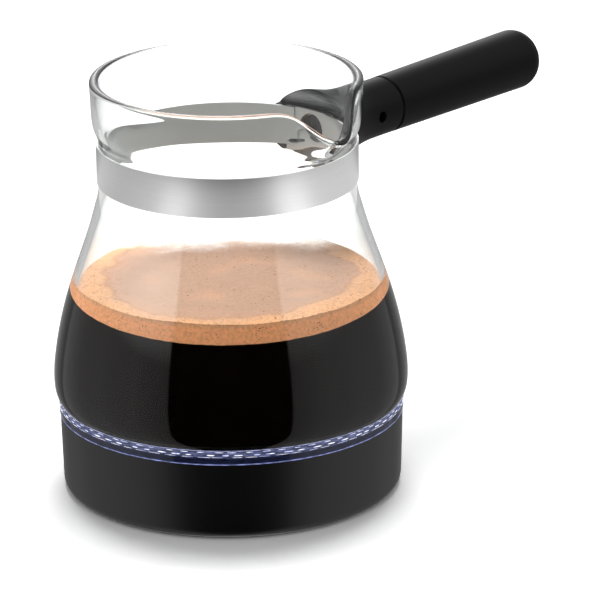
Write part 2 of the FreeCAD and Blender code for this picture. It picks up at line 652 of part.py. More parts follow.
fuse_z = PLATE_UNDERSIDE - FUSE_RADIUS
fuse = rod(FUSE_RADIUS, Vector(STUD_CIRCLE, -FUSE_LENGTH / 2, fuse_z),
           Vector(STUD_CIRCLE, FUSE_LENGTH / 2, fuse_z))
save("thermal_fuse", at_angle(fuse, FUSE_ANGLE))


# Lamp board, chips, resistors and leads

save("led_board", ring(BOARD_INNER_RADIUS, BOARD_OUTER_RADIUS, LUG_TOP, LUG_TOP + BOARD_THICKNESS))
chip = block((CHIP_CIRCLE - CHIP_DEPTH / 2, CHIP_CIRCLE + CHIP_DEPTH / 2),
             (-CHIP_WIDTH / 2, CHIP_WIDTH / 2),
             (LUG_TOP + BOARD_THICKNESS, LUG_TOP + BOARD_THICKNESS + CHIP_HEIGHT))
save("led_chips", Part.makeCompound(around(chip, [360 / CHIP_COUNT * i for i in range(CHIP_COUNT)])))
resistor_z = LUG_TOP - RESISTOR_RADIUS
resistor = rod(RESISTOR_RADIUS, Vector(CHIP_CIRCLE, -RESISTOR_LENGTH / 2, resistor_z),
               Vector(CHIP_CIRCLE, RESISTOR_LENGTH / 2, resistor_z))
save("led_resistors", Part.makeCompound(around(resistor, RESISTOR_ANGLES)))


def lead():
    """One insulated lead from the lamp board down and in to the control."""
    bend = LEAD_BEND_RADIUS
    start = Vector(CHIP_CIRCLE, 0, LUG_TOP)
    drop_end = Vector(CHIP_CIRCLE, 0, LUG_BOTTOM + bend)
    run_start = Vector(CHIP_CIRCLE - bend, 0, LUG_BOTTOM)
    run_end = Vector(CONTROL_RADIUS, 0, LUG_BOTTOM)
    lean = bend * (1 - math.cos(math.radians(45)))
    middle = Vector(CHIP_CIRCLE - lean, 0, LUG_BOTTOM + lean)
    path = Part.Wire([line(start, drop_end), Part.Arc(drop_end, middle, run_start).toShape(),
                      line(run_start, run_end)])
    circle = Part.Wire([Part.makeCircle(LEAD_RADIUS, start, UP)])
    return path.makePipeShell([circle], True, False)


save("led_leads", Part.makeCompound(around(lead(), LEAD_ANGLES)))


# Control: shroud, contacts, thermostat block and bimetal discs

def contact_ring(inner):
    return ring(inner, inner + CONTACT_WALL, CONTACT_TIP, SHROUD_FLOOR_BOTTOM + CONTACT_SEAT)


def connector_shroud():
    cup = disc(SHROUD_RADIUS, SHROUD_BOTTOM, CONTROL_BOTTOM)
    cup = cup.cut(disc(SHROUD_RADIUS - SHROUD_WALL, SHROUD_BOTTOM, SHROUD_FLOOR_BOTTOM))
    cuts = [disc(PIN_RADIUS, SHROUD_FLOOR_BOTTOM, CONTROL_BOTTOM)]
    cuts += [contact_ring(inner) for name, inner in CONTACT_RINGS]
    cuts += around(disc(CONTROL_SCREW_RADIUS, SHROUD_FLOOR_BOTTOM, CONTROL_BOTTOM,
                        CONTROL_SCREW_CIRCLE), CONTROL_SCREW_ANGLES)
    return cup.cut(cuts)


def contact_blade(bottom):
    return block((CHAMBER_START - BLADE_ROOT, CHAMBER_END - BLADE_TIP_GAP),
                 (-BLADE_HALF_WIDTH, BLADE_HALF_WIDTH), (bottom, bottom + BLADE_THICKNESS))


def control_body():
    body = disc(CONTROL_RADIUS, CONTROL_BOTTOM, CONTROL_TOP)
    body = body.fuse(block((0, CHAMBER_END + CHAMBER_WALL),
                           (-CONTROL_BOSS_WIDTH / 2, CONTROL_BOSS_WIDTH / 2),
                           (CONTROL_BOTTOM, CONTROL_TOP)))
    cuts = [disc(PIN_RADIUS, CONTROL_BOTTOM, PIN_TOP)]
    cuts += around(disc(CONTROL_SCREW_RADIUS, CONTROL_BOTTOM, CONTROL_TOP,
                        CONTROL_SCREW_CIRCLE), CONTROL_SCREW_ANGLES)
    cuts += [disc(BIMETAL_RADIUS + BIMETAL_FIT, CONTROL_TOP - 2 * BIMETAL_THICKNESS, CONTROL_TOP, x, y)
             for x, y in BIMETAL_PLACES]
    cuts += [disc(PLUNGER_RADIUS + PLUNGER_FIT, CONTROL_BOTTOM, PLUNGER_TOP, PLUNGER_X)]
    chamber_half = BLADE_HALF_WIDTH + CHAMBER_ROOM
    cuts += [block((CHAMBER_START, CHAMBER_END), (-chamber_half, chamber_half),
                   (PLUNGER_TOP - CHAMBER_ROOM, CHAMBER_TOP))]
    cuts += [contact_blade(BLADE_Z), contact_blade(BLADE_Z + BLADE_SPACING)]
    return body.cut(cuts).removeSplitter()


save("connector_shroud", connector_shroud())
pin_tip = Part.makeSphere(PIN_RADIUS, Vector(0, 0, CONTACT_TIP + PIN_RADIUS))
save("centre_pin", disc(PIN_RADIUS, CONTACT_TIP + PIN_RADIUS, PIN_TOP).fuse(pin_tip))
for ring_name, ring_inner in CONTACT_RINGS:
    save(ring_name, contact_ring(ring_inner))
save("control_body", control_body())
save("contact_blades", Part.makeCompound([contact_blade(BLADE_Z), contact_blade(BLADE_Z + BLADE_SPACING)]))
discs = [disc(BIMETAL_RADIUS, CONTROL_TOP - 2 * BIMETAL_THICKNESS, CONTROL_TOP - BIMETAL_THICKNESS, x, y)
         for x, y in BIMETAL_PLACES]
save("bimetal_discs", Part.makeCompound(discs))
control_screw = screw_up(CONTROL_SCREW_CIRCLE, SHROUD_FLOOR_BOTTOM - CONTROL_SCREW_HEAD_HEIGHT,
                         CONTROL_SCREW_HEAD_RADIUS, CONTROL_SCREW_HEAD_HEIGHT, CONTROL_SCREW_RADIUS,
                         spreader_screw_end - SHROUD_FLOOR_BOTTOM)
save("control_screws", Part.makeCompound(around(control_screw, CONTROL_SCREW_ANGLES)))


# Switch lever, pin and plunger

def switch_lever():
    across = (-LEVER_HALF_WIDTH, LEVER_HALF_WIDTH)
    half_arm = LEVER_ARM_THICKNESS / 2
    half_paddle = PADDLE_THICKNESS / 2
    hub = rod(LEVER_HUB_RADIUS, Vector(LEVER_PIVOT_X, across[0], LEVER_PIVOT_Z),
              Vector(LEVER_PIVOT_X, across[1], LEVER_PIVOT_Z))
    nose_top = LEVER_PIVOT_Z + LEVER_NOSE_TOP
    nose = block((LEVER_NOSE_X, LEVER_PIVOT_X), (-LEVER_NOSE_HALF_WIDTH, LEVER_NOSE_HALF_WIDTH),
                 (nose_top - LEVER_NOSE_THICKNESS, nose_top))
    arm = block((LEVER_PIVOT_X, PADDLE_START_X + PADDLE_ROOT), across,
                (LEVER_PIVOT_Z - half_arm, LEVER_PIVOT_Z + half_arm))
    paddle = block((PADDLE_START_X, PADDLE_END_X), across,
                   (LEVER_PIVOT_Z - half_paddle, LEVER_PIVOT_Z + half_paddle))
    corners = [edge for edge in paddle.Edges
               if abs(edge.BoundBox.XMin - PADDLE_END_X) < NEAR and edge.BoundBox.ZLength > half_paddle]
    paddle = paddle.makeFillet(PADDLE_THICKNESS, corners)
    rims = [edge for edge in paddle.Edges if edge.BoundBox.ZLength < NEAR
            and edge.BoundBox.XMax > PADDLE_START_X + PADDLE_ROOT]
    paddle = paddle.makeFillet(PADDLE_EDGE_FILLET, rims)
    bore = rod(LEVER_PIN_RADIUS + LEVER_PIN_FIT,
               Vector(LEVER_PIVOT_X, -LEVER_PIN_HALF_LENGTH, LEVER_PIVOT_Z),
               Vector(LEVER_PIVOT_X, LEVER_PIN_HALF_LENGTH, LEVER_PIVOT_Z))
    return joined([hub, nose, arm, paddle]).cut(bore)


save("switch_lever", switch_lever())
save("lever_pin", rod(LEVER_PIN_RADIUS, Vector(LEVER_PIVOT_X, -LEVER_PIN_HALF_LENGTH, LEVER_PIVOT_Z),
                      Vector(LEVER_PIVOT_X, LEVER_PIN_HALF_LENGTH, LEVER_PIVOT_Z)))
tip_ball = Part.makeSphere(PLUNGER_RADIUS, Vector(PLUNGER_X, 0, PLUNGER_TIP + PLUNGER_RADIUS))
plunger = disc(PLUNGER_RADIUS, PLUNGER_TIP + PLUNGER_RADIUS, PLUNGER_TOP, PLUNGER_X).fuse(tip_ball)
save("contact_plunger", plunger)


# Neck band and bracket

def arc_plate(inner, outer, half_angle, bottom):
    """An upright plate bent round the jar, centred on the handle's side, up to the band's top."""
    face = Part.Face(Part.makePolygon([Vector(inner, 0, bottom), Vector(outer, 0, bottom),
                                       Vector(outer, 0, BAND_TOP), Vector(inner, 0, BAND_TOP),
                                       Vector(inner, 0, bottom)]))
    return at_angle(face.revolve(ORIGIN, UP, 2 * half_angle), -half_angle)


def bracket_slot():
    """An oblong opening with one pointed end, cut along X beside the dish."""
    half_height = BRACKET_SLOT_HEIGHT / 2
    z = HANDLE_Z - BRACKET_SLOT_DROP
    near = BRACKET_SLOT_OFFSET - BRACKET_SLOT_LENGTH / 2
    far = BRACKET_SLOT_OFFSET + BRACKET_SLOT_LENGTH / 2
    start = NECK_RADIUS / 2
    corners = [Vector(start, near, z - half_height),
               Vector(start, far, z - half_height),
               Vector(start, far + half_height, z),
               Vector(start, far, z + half_height),
               Vector(start, near, z + half_height)]
    face = Part.Face(Part.makePolygon(corners + [corners[0]]))
    return face.extrude(Vector(NECK_RADIUS, 0, 0))


def neck_band():
    band = arc_plate(BAND_INNER_RADIUS, BAND_OUTER_RADIUS, 180 - BAND_GAP_HALF_ANGLE, BAND_BOTTOM)
    return at_angle(band, 180).cut(bracket_slot())


def band_bracket():
    plate = arc_plate(BAND_OUTER_RADIUS, BRACKET_OUTER_RADIUS, BRACKET_HALF_ANGLE, BRACKET_BOTTOM)
    axis_start = Vector(NECK_RADIUS, 0, HANDLE_Z)
    dish = rod(BRACKET_DISH_RADIUS, axis_start, Vector(DISH_END, 0, HANDLE_Z))
    hollow = rod(BRACKET_DISH_RADIUS - BRACKET_THICKNESS, axis_start, Vector(HEAD_SEAT, 0, HANDLE_Z))
    hole = rod(TIE_SCREW_RADIUS + TIE_SCREW_FIT, axis_start, Vector(DISH_END, 0, HANDLE_Z))
    jar_side = disc(BAND_OUTER_RADIUS, BRACKET_BOTTOM - BRACKET_DISH_RADIUS, BAND_TOP + BRACKET_DISH_RADIUS)
    return plate.fuse(dish.cut(jar_side)).cut([hollow, hole, bracket_slot()])


save("neck_band", neck_band())
save("band_bracket", band_bracket())


# Handle

def turned_on_handle(outline):
    """A solid turned about the handle's axis from (distance, radius) corners."""
    corners = [Vector(distance, 0, HANDLE_Z + radius) for distance, radius in outline]
    face = Part.Face(Part.makePolygon(corners + [corners[0]]))
    return face.revolve(Vector(0, 0, HANDLE_Z), ALONG_X, 360)


# A turn that sets a flat section upright across the handle, with its width along Y
UPRIGHT_ALONG_Y = FreeCAD.Rotation(Vector(1, 1, 1), 120)


def saddle_flare(saddle_start, flare_end):
    """The collar's flare: oval sections that are wider than high at the neck and round at the end."""
    poles = [Vector(saddle_start + (flare_end - saddle_start) * share, 0, swell)
             for share, swell in FLARE_SHARES]
    profile = smooth_edge(poles)
    first, last = profile.ParameterRange
    sections = []
    for k in range(SADDLE_SECTIONS):
        point = profile.valueAt(first + (last - first) * k / (SADDLE_SECTIONS - 1))
        centre = Vector(point.x, 0, HANDLE_Z)
        half_width = COLLAR_RADIUS + (SADDLE_HALF_WIDTH - COLLAR_RADIUS) * point.z
        half_height = min(COLLAR_RADIUS + (SADDLE_RADIUS - COLLAR_RADIUS) * point.z, half_width)
        section = Part.Wire(Part.Ellipse(ORIGIN, half_width, half_height).toShape())
        section.Placement = FreeCAD.Placement(centre, UPRIGHT_ALONG_Y)
        sections.append(section)
    return Part.makeLoft(sections, True)


def handle_collar():
    saddle_start = NECK_RADIUS - SADDLE_BLANK_INSET
    flare_end = SEAM_DISTANCE - LOCK_HOLE_BEFORE_SEAM
    start = Vector(saddle_start, 0, HANDLE_Z)
    straight = turned_on_handle((
        (flare_end, 0),
        (flare_end, COLLAR_RADIUS),
        (SEAM_DISTANCE - EDGE_BREAK, COLLAR_RADIUS),
        (SEAM_DISTANCE, COLLAR_RADIUS - EDGE_BREAK),
        (SEAM_DISTANCE, 0),
    ))
    collar = saddle_flare(saddle_start, flare_end).fuse(straight)

    reach = 2 * SADDLE_RADIUS
    bracket_room = disc(BRACKET_OUTER_RADIUS, BRACKET_BOTTOM, BAND_TOP)
    glass_clear = RIM_RADIUS + SADDLE_CLEARANCE
    below = disc(glass_clear, HANDLE_Z - reach, BRACKET_BOTTOM)
    above = disc(glass_clear, BAND_TOP, HANDLE_Z + reach)
    dish_room = rod(BRACKET_DISH_RADIUS + TIE_SCREW_FIT, start, Vector(DISH_END, 0, HANDLE_Z))
    screw_hole = rod(TIE_SCREW_RADIUS + TIE_SCREW_FIT, start, Vector(SEAM_DISTANCE, 0, HANDLE_Z))
    lock_x = SEAM_DISTANCE - LOCK_HOLE_BEFORE_SEAM
    lock_hole = rod(LOCK_HOLE_RADIUS, Vector(lock_x, -SADDLE_RADIUS, HANDLE_Z),
                    Vector(lock_x, 0, HANDLE_Z))
    return collar.cut([bracket_room, below, above, dish_room, screw_hole, lock_hole])


def handle_grip():
    grip = turned_on_handle((
        (GRIP_START, 0),
        (GRIP_START, GRIP_START_RADIUS - EDGE_BREAK),
        (GRIP_START + EDGE_BREAK, GRIP_START_RADIUS),
        (GRIP_END, GRIP_END_RADIUS),
        (GRIP_END, 0),
    ))
    end_edge = [edge for edge in grip.Edges
                if abs(edge.BoundBox.XMin - GRIP_END) < NEAR and edge.Length > GRIP_END_RADIUS]
    grip = grip.makeFillet(GRIP_END_FILLET, end_edge)
    insert_start = GRIP_START + INSERT_START
    insert_room = rod(INSERT_RADIUS, Vector(insert_start, 0, HANDLE_Z),
                      Vector(insert_start + INSERT_LENGTH, 0, HANDLE_Z))
    screw_room = rod(TIE_SCREW_RADIUS + TIE_SCREW_FIT, Vector(GRIP_START, 0, HANDLE_Z),
                     Vector(insert_start + INSERT_LENGTH + INSERT_END_ROOM, 0, HANDLE_Z))
    return grip.cut([insert_room, screw_room])


def tie_screw():
    """The long screw, from the bracket's dish into the grip's threaded insert."""
    head_start = HEAD_SEAT - TIE_SCREW_HEAD_HEIGHT
    head = rod(TIE_SCREW_HEAD_RADIUS, Vector(head_start, 0, HANDLE_Z), Vector(HEAD_SEAT, 0, HANDLE_Z))
    slot_half = TIE_SCREW_HEAD_RADIUS * CROSS_REACH
    slot_half_width = TIE_SCREW_HEAD_RADIUS * CROSS_HALF_WIDTH
    depth = (head_start, head_start + TIE_SCREW_HEAD_HEIGHT * CROSS_DEPTH)
    for y_half, z_half in ((slot_half, slot_half_width), (slot_half_width, slot_half)):
        head = head.cut(block(depth, (-y_half, y_half), (HANDLE_Z - z_half, HANDLE_Z + z_half)))
    shank = rod(TIE_SCREW_RADIUS, Vector(HEAD_SEAT, 0, HANDLE_Z),
                Vector(HEAD_SEAT + TIE_SCREW_LENGTH, 0, HANDLE_Z))
    return head.fuse(shank)


save("handle_collar", handle_collar())
save("handle_grip", handle_grip())
washer = rod(WASHER_RADIUS, Vector(SEAM_DISTANCE, 0, HANDLE_Z), Vector(GRIP_START, 0, HANDLE_Z))
washer_hole = rod(TIE_SCREW_RADIUS + TIE_SCREW_FIT, Vector(SEAM_DISTANCE, 0, HANDLE_Z),
                  Vector(GRIP_START, 0, HANDLE_Z))
save("seam_washer", washer.cut(washer_hole))
insert_from = Vector(GRIP_START + INSERT_START, 0, HANDLE_Z)
insert_to = insert_from + ALONG_X * INSERT_LENGTH
insert = rod(INSERT_RADIUS, insert_from, insert_to).cut(rod(TIE_SCREW_RADIUS, insert_from, insert_to))
save("grip_insert", insert)
save("tie_screw", tie_screw())
lock_screw_x = SEAM_DISTANCE - LOCK_HOLE_BEFORE_SEAM
lock_screw_end = Vector(lock_screw_x, -TIE_SCREW_RADIUS, HANDLE_Z)
lock_screw = rod(LOCK_HOLE_RADIUS, lock_screw_end - ALONG_Y * LOCK_SCREW_LENGTH, lock_screw_end)
save("lock_screw", lock_screw)
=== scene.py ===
import bmesh
import bpy
import math
from mathutils import Matrix, Vector, noise


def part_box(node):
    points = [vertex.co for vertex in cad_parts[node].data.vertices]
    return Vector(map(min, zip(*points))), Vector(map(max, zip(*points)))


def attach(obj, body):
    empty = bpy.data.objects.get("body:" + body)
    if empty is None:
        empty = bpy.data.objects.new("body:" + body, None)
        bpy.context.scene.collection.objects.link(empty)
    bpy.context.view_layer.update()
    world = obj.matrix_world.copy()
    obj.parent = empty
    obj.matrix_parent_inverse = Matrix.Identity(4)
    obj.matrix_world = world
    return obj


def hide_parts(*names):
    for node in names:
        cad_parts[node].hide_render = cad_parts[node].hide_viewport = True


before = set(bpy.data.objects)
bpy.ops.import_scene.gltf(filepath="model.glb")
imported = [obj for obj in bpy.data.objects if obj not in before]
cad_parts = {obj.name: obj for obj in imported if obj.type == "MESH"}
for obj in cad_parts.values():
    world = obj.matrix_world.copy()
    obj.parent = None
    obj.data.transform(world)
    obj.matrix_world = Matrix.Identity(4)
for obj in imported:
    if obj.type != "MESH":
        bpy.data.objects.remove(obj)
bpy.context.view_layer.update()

# Studio: a white paper sweep, one soft box overhead, and tall soft panels left and right of the
# lens, which the gloss shows with the dark gap between them. A flat ring of strip lights lies
# under the neck band, faces up and is seen in gloss only. The floor keeps the shadow.
MM = 0.001
VIEW_AWAY = Vector((0.7490, 0.6626, 0.0))
VIEW_RIGHT = Vector((0.6626, -0.7490, 0.0))
VIEW_PITCH = math.radians(19.14)
VIEW_ROLL = math.radians(0.69)
LENS_RIGHT = 21.3 * MM
LENS_BACK = 1436.0 * MM
LENS_HEIGHT = 556.0 * MM
LENS_LENGTH = 300.0
AMBIENT = 0.48
PANEL_TONES = ((39.28, 0.0), (40.72, 0.82), (64.8, 1.3), (93.6, 1.25), (111.6, 0.95),
               (137.4, 0.9), (141.0, 0.4), (167.4, 0.9), (180.0, 2.0))
PANEL_LOW = 0.45
PANEL_HIGH = 2.2
PANEL_HIGH_RIGHT = 0.9
PANEL_LEFT_DEGREES = -35.0
PANEL_RIGHT_DEGREES = 75.0
PANEL_RISE = (0.08, 0.36)
AHEAD_RANGE = (0.55, 0.86)
OFF_AXIS = 1.15
FLOOR_RADIUS = 4.0
FLOOR_TONE = 1.2
FLOOR_MIRRORED = 0.55
OVERHEAD_POWER = 8.5
OVERHEAD_SIZE = (0.5, 0.3)
OVERHEAD_AT = VIEW_AWAY * 0.32 + Vector((0, 0, 0.94))
STRIP_LEVEL = 88.0 * MM
STRIP_RADII = (48.0 * MM, 102.0 * MM)
STRIP_REACH = 120.0
STRIP_STEPS = 96
STRIP_TONES = ((-120, 1.0), (-78, 0.72), (-48, 0.86), (-37, 1.5), (-29, 1.5), (-20, 0.86),
               (-5, 0.62), (6, 0.62), (28, 0.78), (36, 1.65), (49, 1.7), (60, 1.0), (120, 1.0))


def linear(colour):
    """An sRGB hex colour as linear red, green, blue and alpha."""
    parts = [int(colour[i:i + 2], 16) / 255 for i in (1, 3, 5)]
    flat = [c / 12.92 if c <= 0.04045 else ((c + 0.055) / 1.055) ** 2.4 for c in parts]
    return tuple(flat) + (1.0,)


def add_node(tree, kind, settings=None, links=None):
    """One node with its sockets and properties set and its inputs linked; stops fill a ramp."""
    made = tree.nodes.new(kind)
    for key, value in (settings or {}).items():
        if key == "stops":
            ramp = made.color_ramp
            ramp.elements.remove(ramp.elements[1])
            ramp.elements[0].position, ramp.elements[0].color = value[0]
            for place, colour in value[1:]:
                ramp.elements.new(place).color = colour
        elif isinstance(key, int) or key in made.inputs:
            made.inputs[key].default_value = value
        else:
            setattr(made, key, value)
    for key, source in (links or {}).items():
        tree.links.new(source, made.inputs[key])
    return made


def grey(level):
    """An even linear grey, with full alpha."""
    return (level, level, level, 1.0)


world = bpy.data.worlds.new("studio_world")
bpy.context.scene.world = world
world.use_nodes = True
sky = world.node_tree
sky.nodes.clear()
direction = add_node(sky, "ShaderNodeTexCoord").outputs["Generated"]
rightwards = add_node(sky, "ShaderNodeVectorMath", {"operation": "DOT_PRODUCT", 1: VIEW_RIGHT},
                      {0: direction})
lenswards = add_node(sky, "ShaderNodeVectorMath", {"operation": "DOT_PRODUCT", 1: -VIEW_AWAY},
                     {0: direction})
azimuth = add_node(sky, "ShaderNodeMath", {"operation": "ARCTAN2"},
                   {0: rightwards.outputs["Value"], 1: lenswards.outputs["Value"]})
panel_top = add_node(sky, "ShaderNodeMapRange", {
    "From Min": math.radians(PANEL_LEFT_DEGREES), "From Max": math.radians(PANEL_RIGHT_DEGREES),
    "To Min": PANEL_HIGH, "To Max": PANEL_HIGH_RIGHT}, {"Value": azimuth.outputs[0]})
turned_aside = add_node(sky, "ShaderNodeMath", {"operation": "ABSOLUTE"}, {0: azimuth.outputs[0]})
aside = add_node(sky, "ShaderNodeMath", {"operation": "MULTIPLY", 1: 1 / math.pi},
                 {0: turned_aside.outputs[0]})
height = add_node(sky, "ShaderNodeSeparateXYZ", {}, {0: direction}).outputs["Z"]
panel = add_node(sky, "ShaderNodeValToRGB", {"stops": tuple(
    (degrees / 180, grey(tone)) for degrees, tone in PANEL_TONES)}, {0: aside.outputs[0]})
line_of_sight = VIEW_AWAY * math.cos(VIEW_PITCH) - Vector((0, 0, math.sin(VIEW_PITCH)))
forward = add_node(sky, "ShaderNodeVectorMath", {"operation": "DOT_PRODUCT", 1: line_of_sight},
                   {0: direction})
ahead = add_node(sky, "ShaderNodeMapRange", {
    "interpolation_type": "SMOOTHSTEP", "From Min": AHEAD_RANGE[0], "From Max": AHEAD_RANGE[1]},
    {"Value": forward.outputs["Value"]})
lift = add_node(sky, "ShaderNodeMapRange", {
    "From Min": PANEL_RISE[0], "From Max": PANEL_RISE[1], "To Min": PANEL_LOW},
    {"Value": height, "To Max": panel_top.outputs["Result"]})
gloss = add_node(sky, "ShaderNodeVectorMath", {"operation": "SCALE"},
                 {0: panel.outputs["Color"], "Scale": lift.outputs["Result"]})
path = add_node(sky, "ShaderNodeLightPath")
sides = add_node(sky, "ShaderNodeVectorMath", {"operation": "SCALE", "Scale": OFF_AXIS},
                 {0: gloss.outputs["Vector"]})
beyond = add_node(sky, "ShaderNodeMix", {"data_type": "RGBA", 7: grey(1.0)},
                  {0: ahead.outputs["Result"], 6: sides.outputs["Vector"]})
# A ray bent by the glass also counts as glossy, so the transmission choice is made last.
backdrop = add_node(sky, "ShaderNodeMix", {"data_type": "RGBA", 6: grey(AMBIENT), 7: grey(1.0)},
                    {0: path.outputs["Is Camera Ray"]})
glossed = add_node(sky, "ShaderNodeMix", {"data_type": "RGBA"}, {
    0: path.outputs["Is Glossy Ray"], 6: backdrop.outputs[2], 7: gloss.outputs["Vector"]})
surround = add_node(sky, "ShaderNodeMix", {"data_type": "RGBA"}, {
    0: path.outputs["Is Transmission Ray"], 6: glossed.outputs[2], 7: beyond.outputs[2]})
background = add_node(sky, "ShaderNodeBackground", {"Strength": 1.0},
                      {"Color": surround.outputs[2]})
add_node(sky, "ShaderNodeOutputWorld", {}, {"Surface": background.outputs[0]})

overhead_data = bpy.data.lights.new("overhead_softbox", "AREA")
overhead_data.shape = "RECTANGLE"
overhead_data.size, overhead_data.size_y = OVERHEAD_SIZE
overhead_data.energy = OVERHEAD_POWER
overhead = bpy.data.objects.new("overhead_softbox", overhead_data)
aim = (-OVERHEAD_AT).to_track_quat("-Z", "Y").to_matrix().to_4x4()
overhead.matrix_world = Matrix.Translation(OVERHEAD_AT) @ aim
overhead.visible_glossy = False
bpy.context.scene.collection.objects.link(overhead)

strips = bpy.data.materials.new("strip_light_card")
strips.use_nodes = True
strip_tree = strips.node_tree
strip_tree.nodes.clear()
strip_place = add_node(strip_tree, "ShaderNodeTexCoord").outputs["Object"]
strip_right = add_node(strip_tree, "ShaderNodeVectorMath", {
    "operation": "DOT_PRODUCT", 1: VIEW_RIGHT}, {0: strip_place})
strip_front = add_node(strip_tree, "ShaderNodeVectorMath", {
    "operation": "DOT_PRODUCT", 1: -VIEW_AWAY}, {0: strip_place})
strip_angle = add_node(strip_tree, "ShaderNodeMath", {"operation": "ARCTAN2"},
                       {0: strip_right.outputs["Value"], 1: strip_front.outputs["Value"]})
strip_share = add_node(strip_tree, "ShaderNodeMapRange", {
    "From Min": -math.radians(STRIP_REACH), "From Max": math.radians(STRIP_REACH)},
    {"Value": strip_angle.outputs[0]})
strip_tone = add_node(strip_tree, "ShaderNodeValToRGB", {"stops": tuple(
    (0.5 + 0.5 * angle / STRIP_REACH, grey(tone)) for angle, tone in STRIP_TONES)},
    {0: strip_share.outputs[0]})
strip_glow = add_node(strip_tree, "ShaderNodeEmission", {}, {"Color": strip_tone.outputs[0]})
strip_clear = add_node(strip_tree, "ShaderNodeBsdfTransparent")
strip_side = add_node(strip_tree, "ShaderNodeNewGeometry").outputs["Backfacing"]
strip_mix = add_node(strip_tree, "ShaderNodeMixShader", {}, {
    0: strip_side, 1: strip_glow.outputs[0], 2: strip_clear.outputs[0]})
add_node(strip_tree, "ShaderNodeOutputMaterial", {}, {"Surface": strip_mix.outputs[0]})
strip_mesh = bmesh.new()
strip_edges = []
for k in range(STRIP_STEPS + 1):
    angle = math.radians(STRIP_REACH) * (2 * k / STRIP_STEPS - 1)
    out = VIEW_RIGHT * math.sin(angle) - VIEW_AWAY * math.cos(angle)
    strip_edges.append([strip_mesh.verts.new(out * reach + Vector((0, 0, STRIP_LEVEL)))
                        for reach in STRIP_RADII])
for a, b in zip(strip_edges, strip_edges[1:]):
    strip_mesh.faces.new((a[0], a[1], b[1], b[0])).normal_update()
strip_data = bpy.data.meshes.new("strip_lights")
strip_mesh.to_mesh(strip_data)
strip_mesh.free()
strip_data.materials.append(strips)
strip_card = bpy.data.objects.new("strip_lights", strip_data)
bpy.context.scene.collection.objects.link(strip_card)
for kind in ("camera", "diffuse", "transmission", "volume_scatter", "shadow"):
    setattr(strip_card, "visible_" + kind, False)

# The paper is white to the lens and through the glass, and darker in what the glass mirrors.
bpy.ops.mesh.primitive_circle_add(vertices=96, radius=FLOOR_RADIUS, fill_type="NGON")
floor = bpy.context.object
floor.name = "studio_floor"
floor.visible_glossy = False
paper = bpy.data.materials.new("matt_white_paper")
paper.use_nodes = True
paper_tree = paper.node_tree
paper_tree.nodes.clear()
paper_grain = add_node(paper_tree, "ShaderNodeTexNoise", {"Scale": 900.0, "Detail": 2.0},
                       {"Vector": add_node(paper_tree, "ShaderNodeTexCoord").outputs["Object"]})
paper_colour = add_node(paper_tree, "ShaderNodeMix", {
    "data_type": "RGBA", 6: grey(0.93), 7: grey(0.95)}, {0: paper_grain.outputs[0]})
paper_path = add_node(paper_tree, "ShaderNodeLightPath")
paper_seen = add_node(paper_tree, "ShaderNodeMath", {"operation": "MAXIMUM"}, {
    0: paper_path.outputs["Is Camera Ray"], 1: paper_path.outputs["Is Transmission Ray"]})
paper_tone = add_node(paper_tree, "ShaderNodeMix", {"data_type": "RGBA", 7: grey(FLOOR_TONE)},
                      {0: paper_seen.outputs[0], 6: paper_colour.outputs[2]})
paper_mirrored = add_node(paper_tree, "ShaderNodeMath", {"operation": "GREATER_THAN", 1: 0.5},
                          {0: paper_path.outputs["Glossy Depth"]})
paper_shown = add_node(paper_tree, "ShaderNodeMix", {"data_type": "RGBA", 7: grey(FLOOR_MIRRORED)},
                       {0: paper_mirrored.outputs[0], 6: paper_tone.outputs[2]})
paper_face = add_node(paper_tree, "ShaderNodeBsdfDiffuse", {}, {"Color": paper_shown.outputs[2]})
add_node(paper_tree, "ShaderNodeOutputMaterial", {}, {"Surface": paper_face.outputs[0]})
floor.data.materials.append(paper)

camera_data = bpy.data.cameras.new("lens")
camera_data.lens = LENS_LENGTH
camera_data.sensor_width = 36.0
camera_data.clip_start = 0.05
camera_data.clip_end = 30.0
camera = bpy.data.objects.new("lens", camera_data)
bpy.context.scene.collection.objects.link(camera)
lens_up = VIEW_AWAY * math.sin(VIEW_PITCH) + Vector((0, 0, math.cos(VIEW_PITCH)))
image_right = VIEW_RIGHT * math.cos(VIEW_ROLL) - lens_up * math.sin(VIEW_ROLL)
image_up = VIEW_RIGHT * math.sin(VIEW_ROLL) + lens_up * math.cos(VIEW_ROLL)
lens_at = VIEW_RIGHT * LENS_RIGHT - VIEW_AWAY * LENS_BACK + Vector((0, 0, LENS_HEIGHT))
turn = Matrix((image_right, image_up, image_right.cross(image_up))).transposed()
camera.matrix_world = Matrix.Translation(lens_at) @ turn.to_4x4()
bpy.context.scene.camera = camera
bpy.context.scene.view_settings.view_transform = "Standard"

# Base housing: the black round foot of the coffee maker. Injection-moulded ABS with a satin
# gloss; the wall leans out a little upwards for draft, and its foot is rounded.
SMOOTH_LIMIT = math.radians(28)
WELD = 0.001 * MM
MOTTLE_GRAINS = 12
RELIEF_STRENGTH = 0.35


def shaded(name, mesh, material):
    """A new object of a bmesh, smooth but for its real corners, with this one material."""
    for edge in mesh.edges:
        edge.smooth = edge.is_manifold and edge.calc_face_angle(math.pi) < SMOOTH_LIMIT
    for face in mesh.faces:
        face.smooth = True
        face.material_index = 0
    data = bpy.data.meshes.new(name)
    mesh.to_mesh(data)
    mesh.free()
    data.materials.append(material)
    piece = bpy.data.objects.new(name, data)
    bpy.context.scene.collection.objects.link(piece)
    return piece


def dressed_copy(node, name, material):
    """The node's own mesh, welded and smoothly shaded, which stands for the node."""
    mesh = bmesh.new()
    mesh.from_mesh(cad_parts[node].data)
    bmesh.ops.remove_doubles(mesh, verts=mesh.verts, dist=WELD)
    return shaded(name, mesh, material)


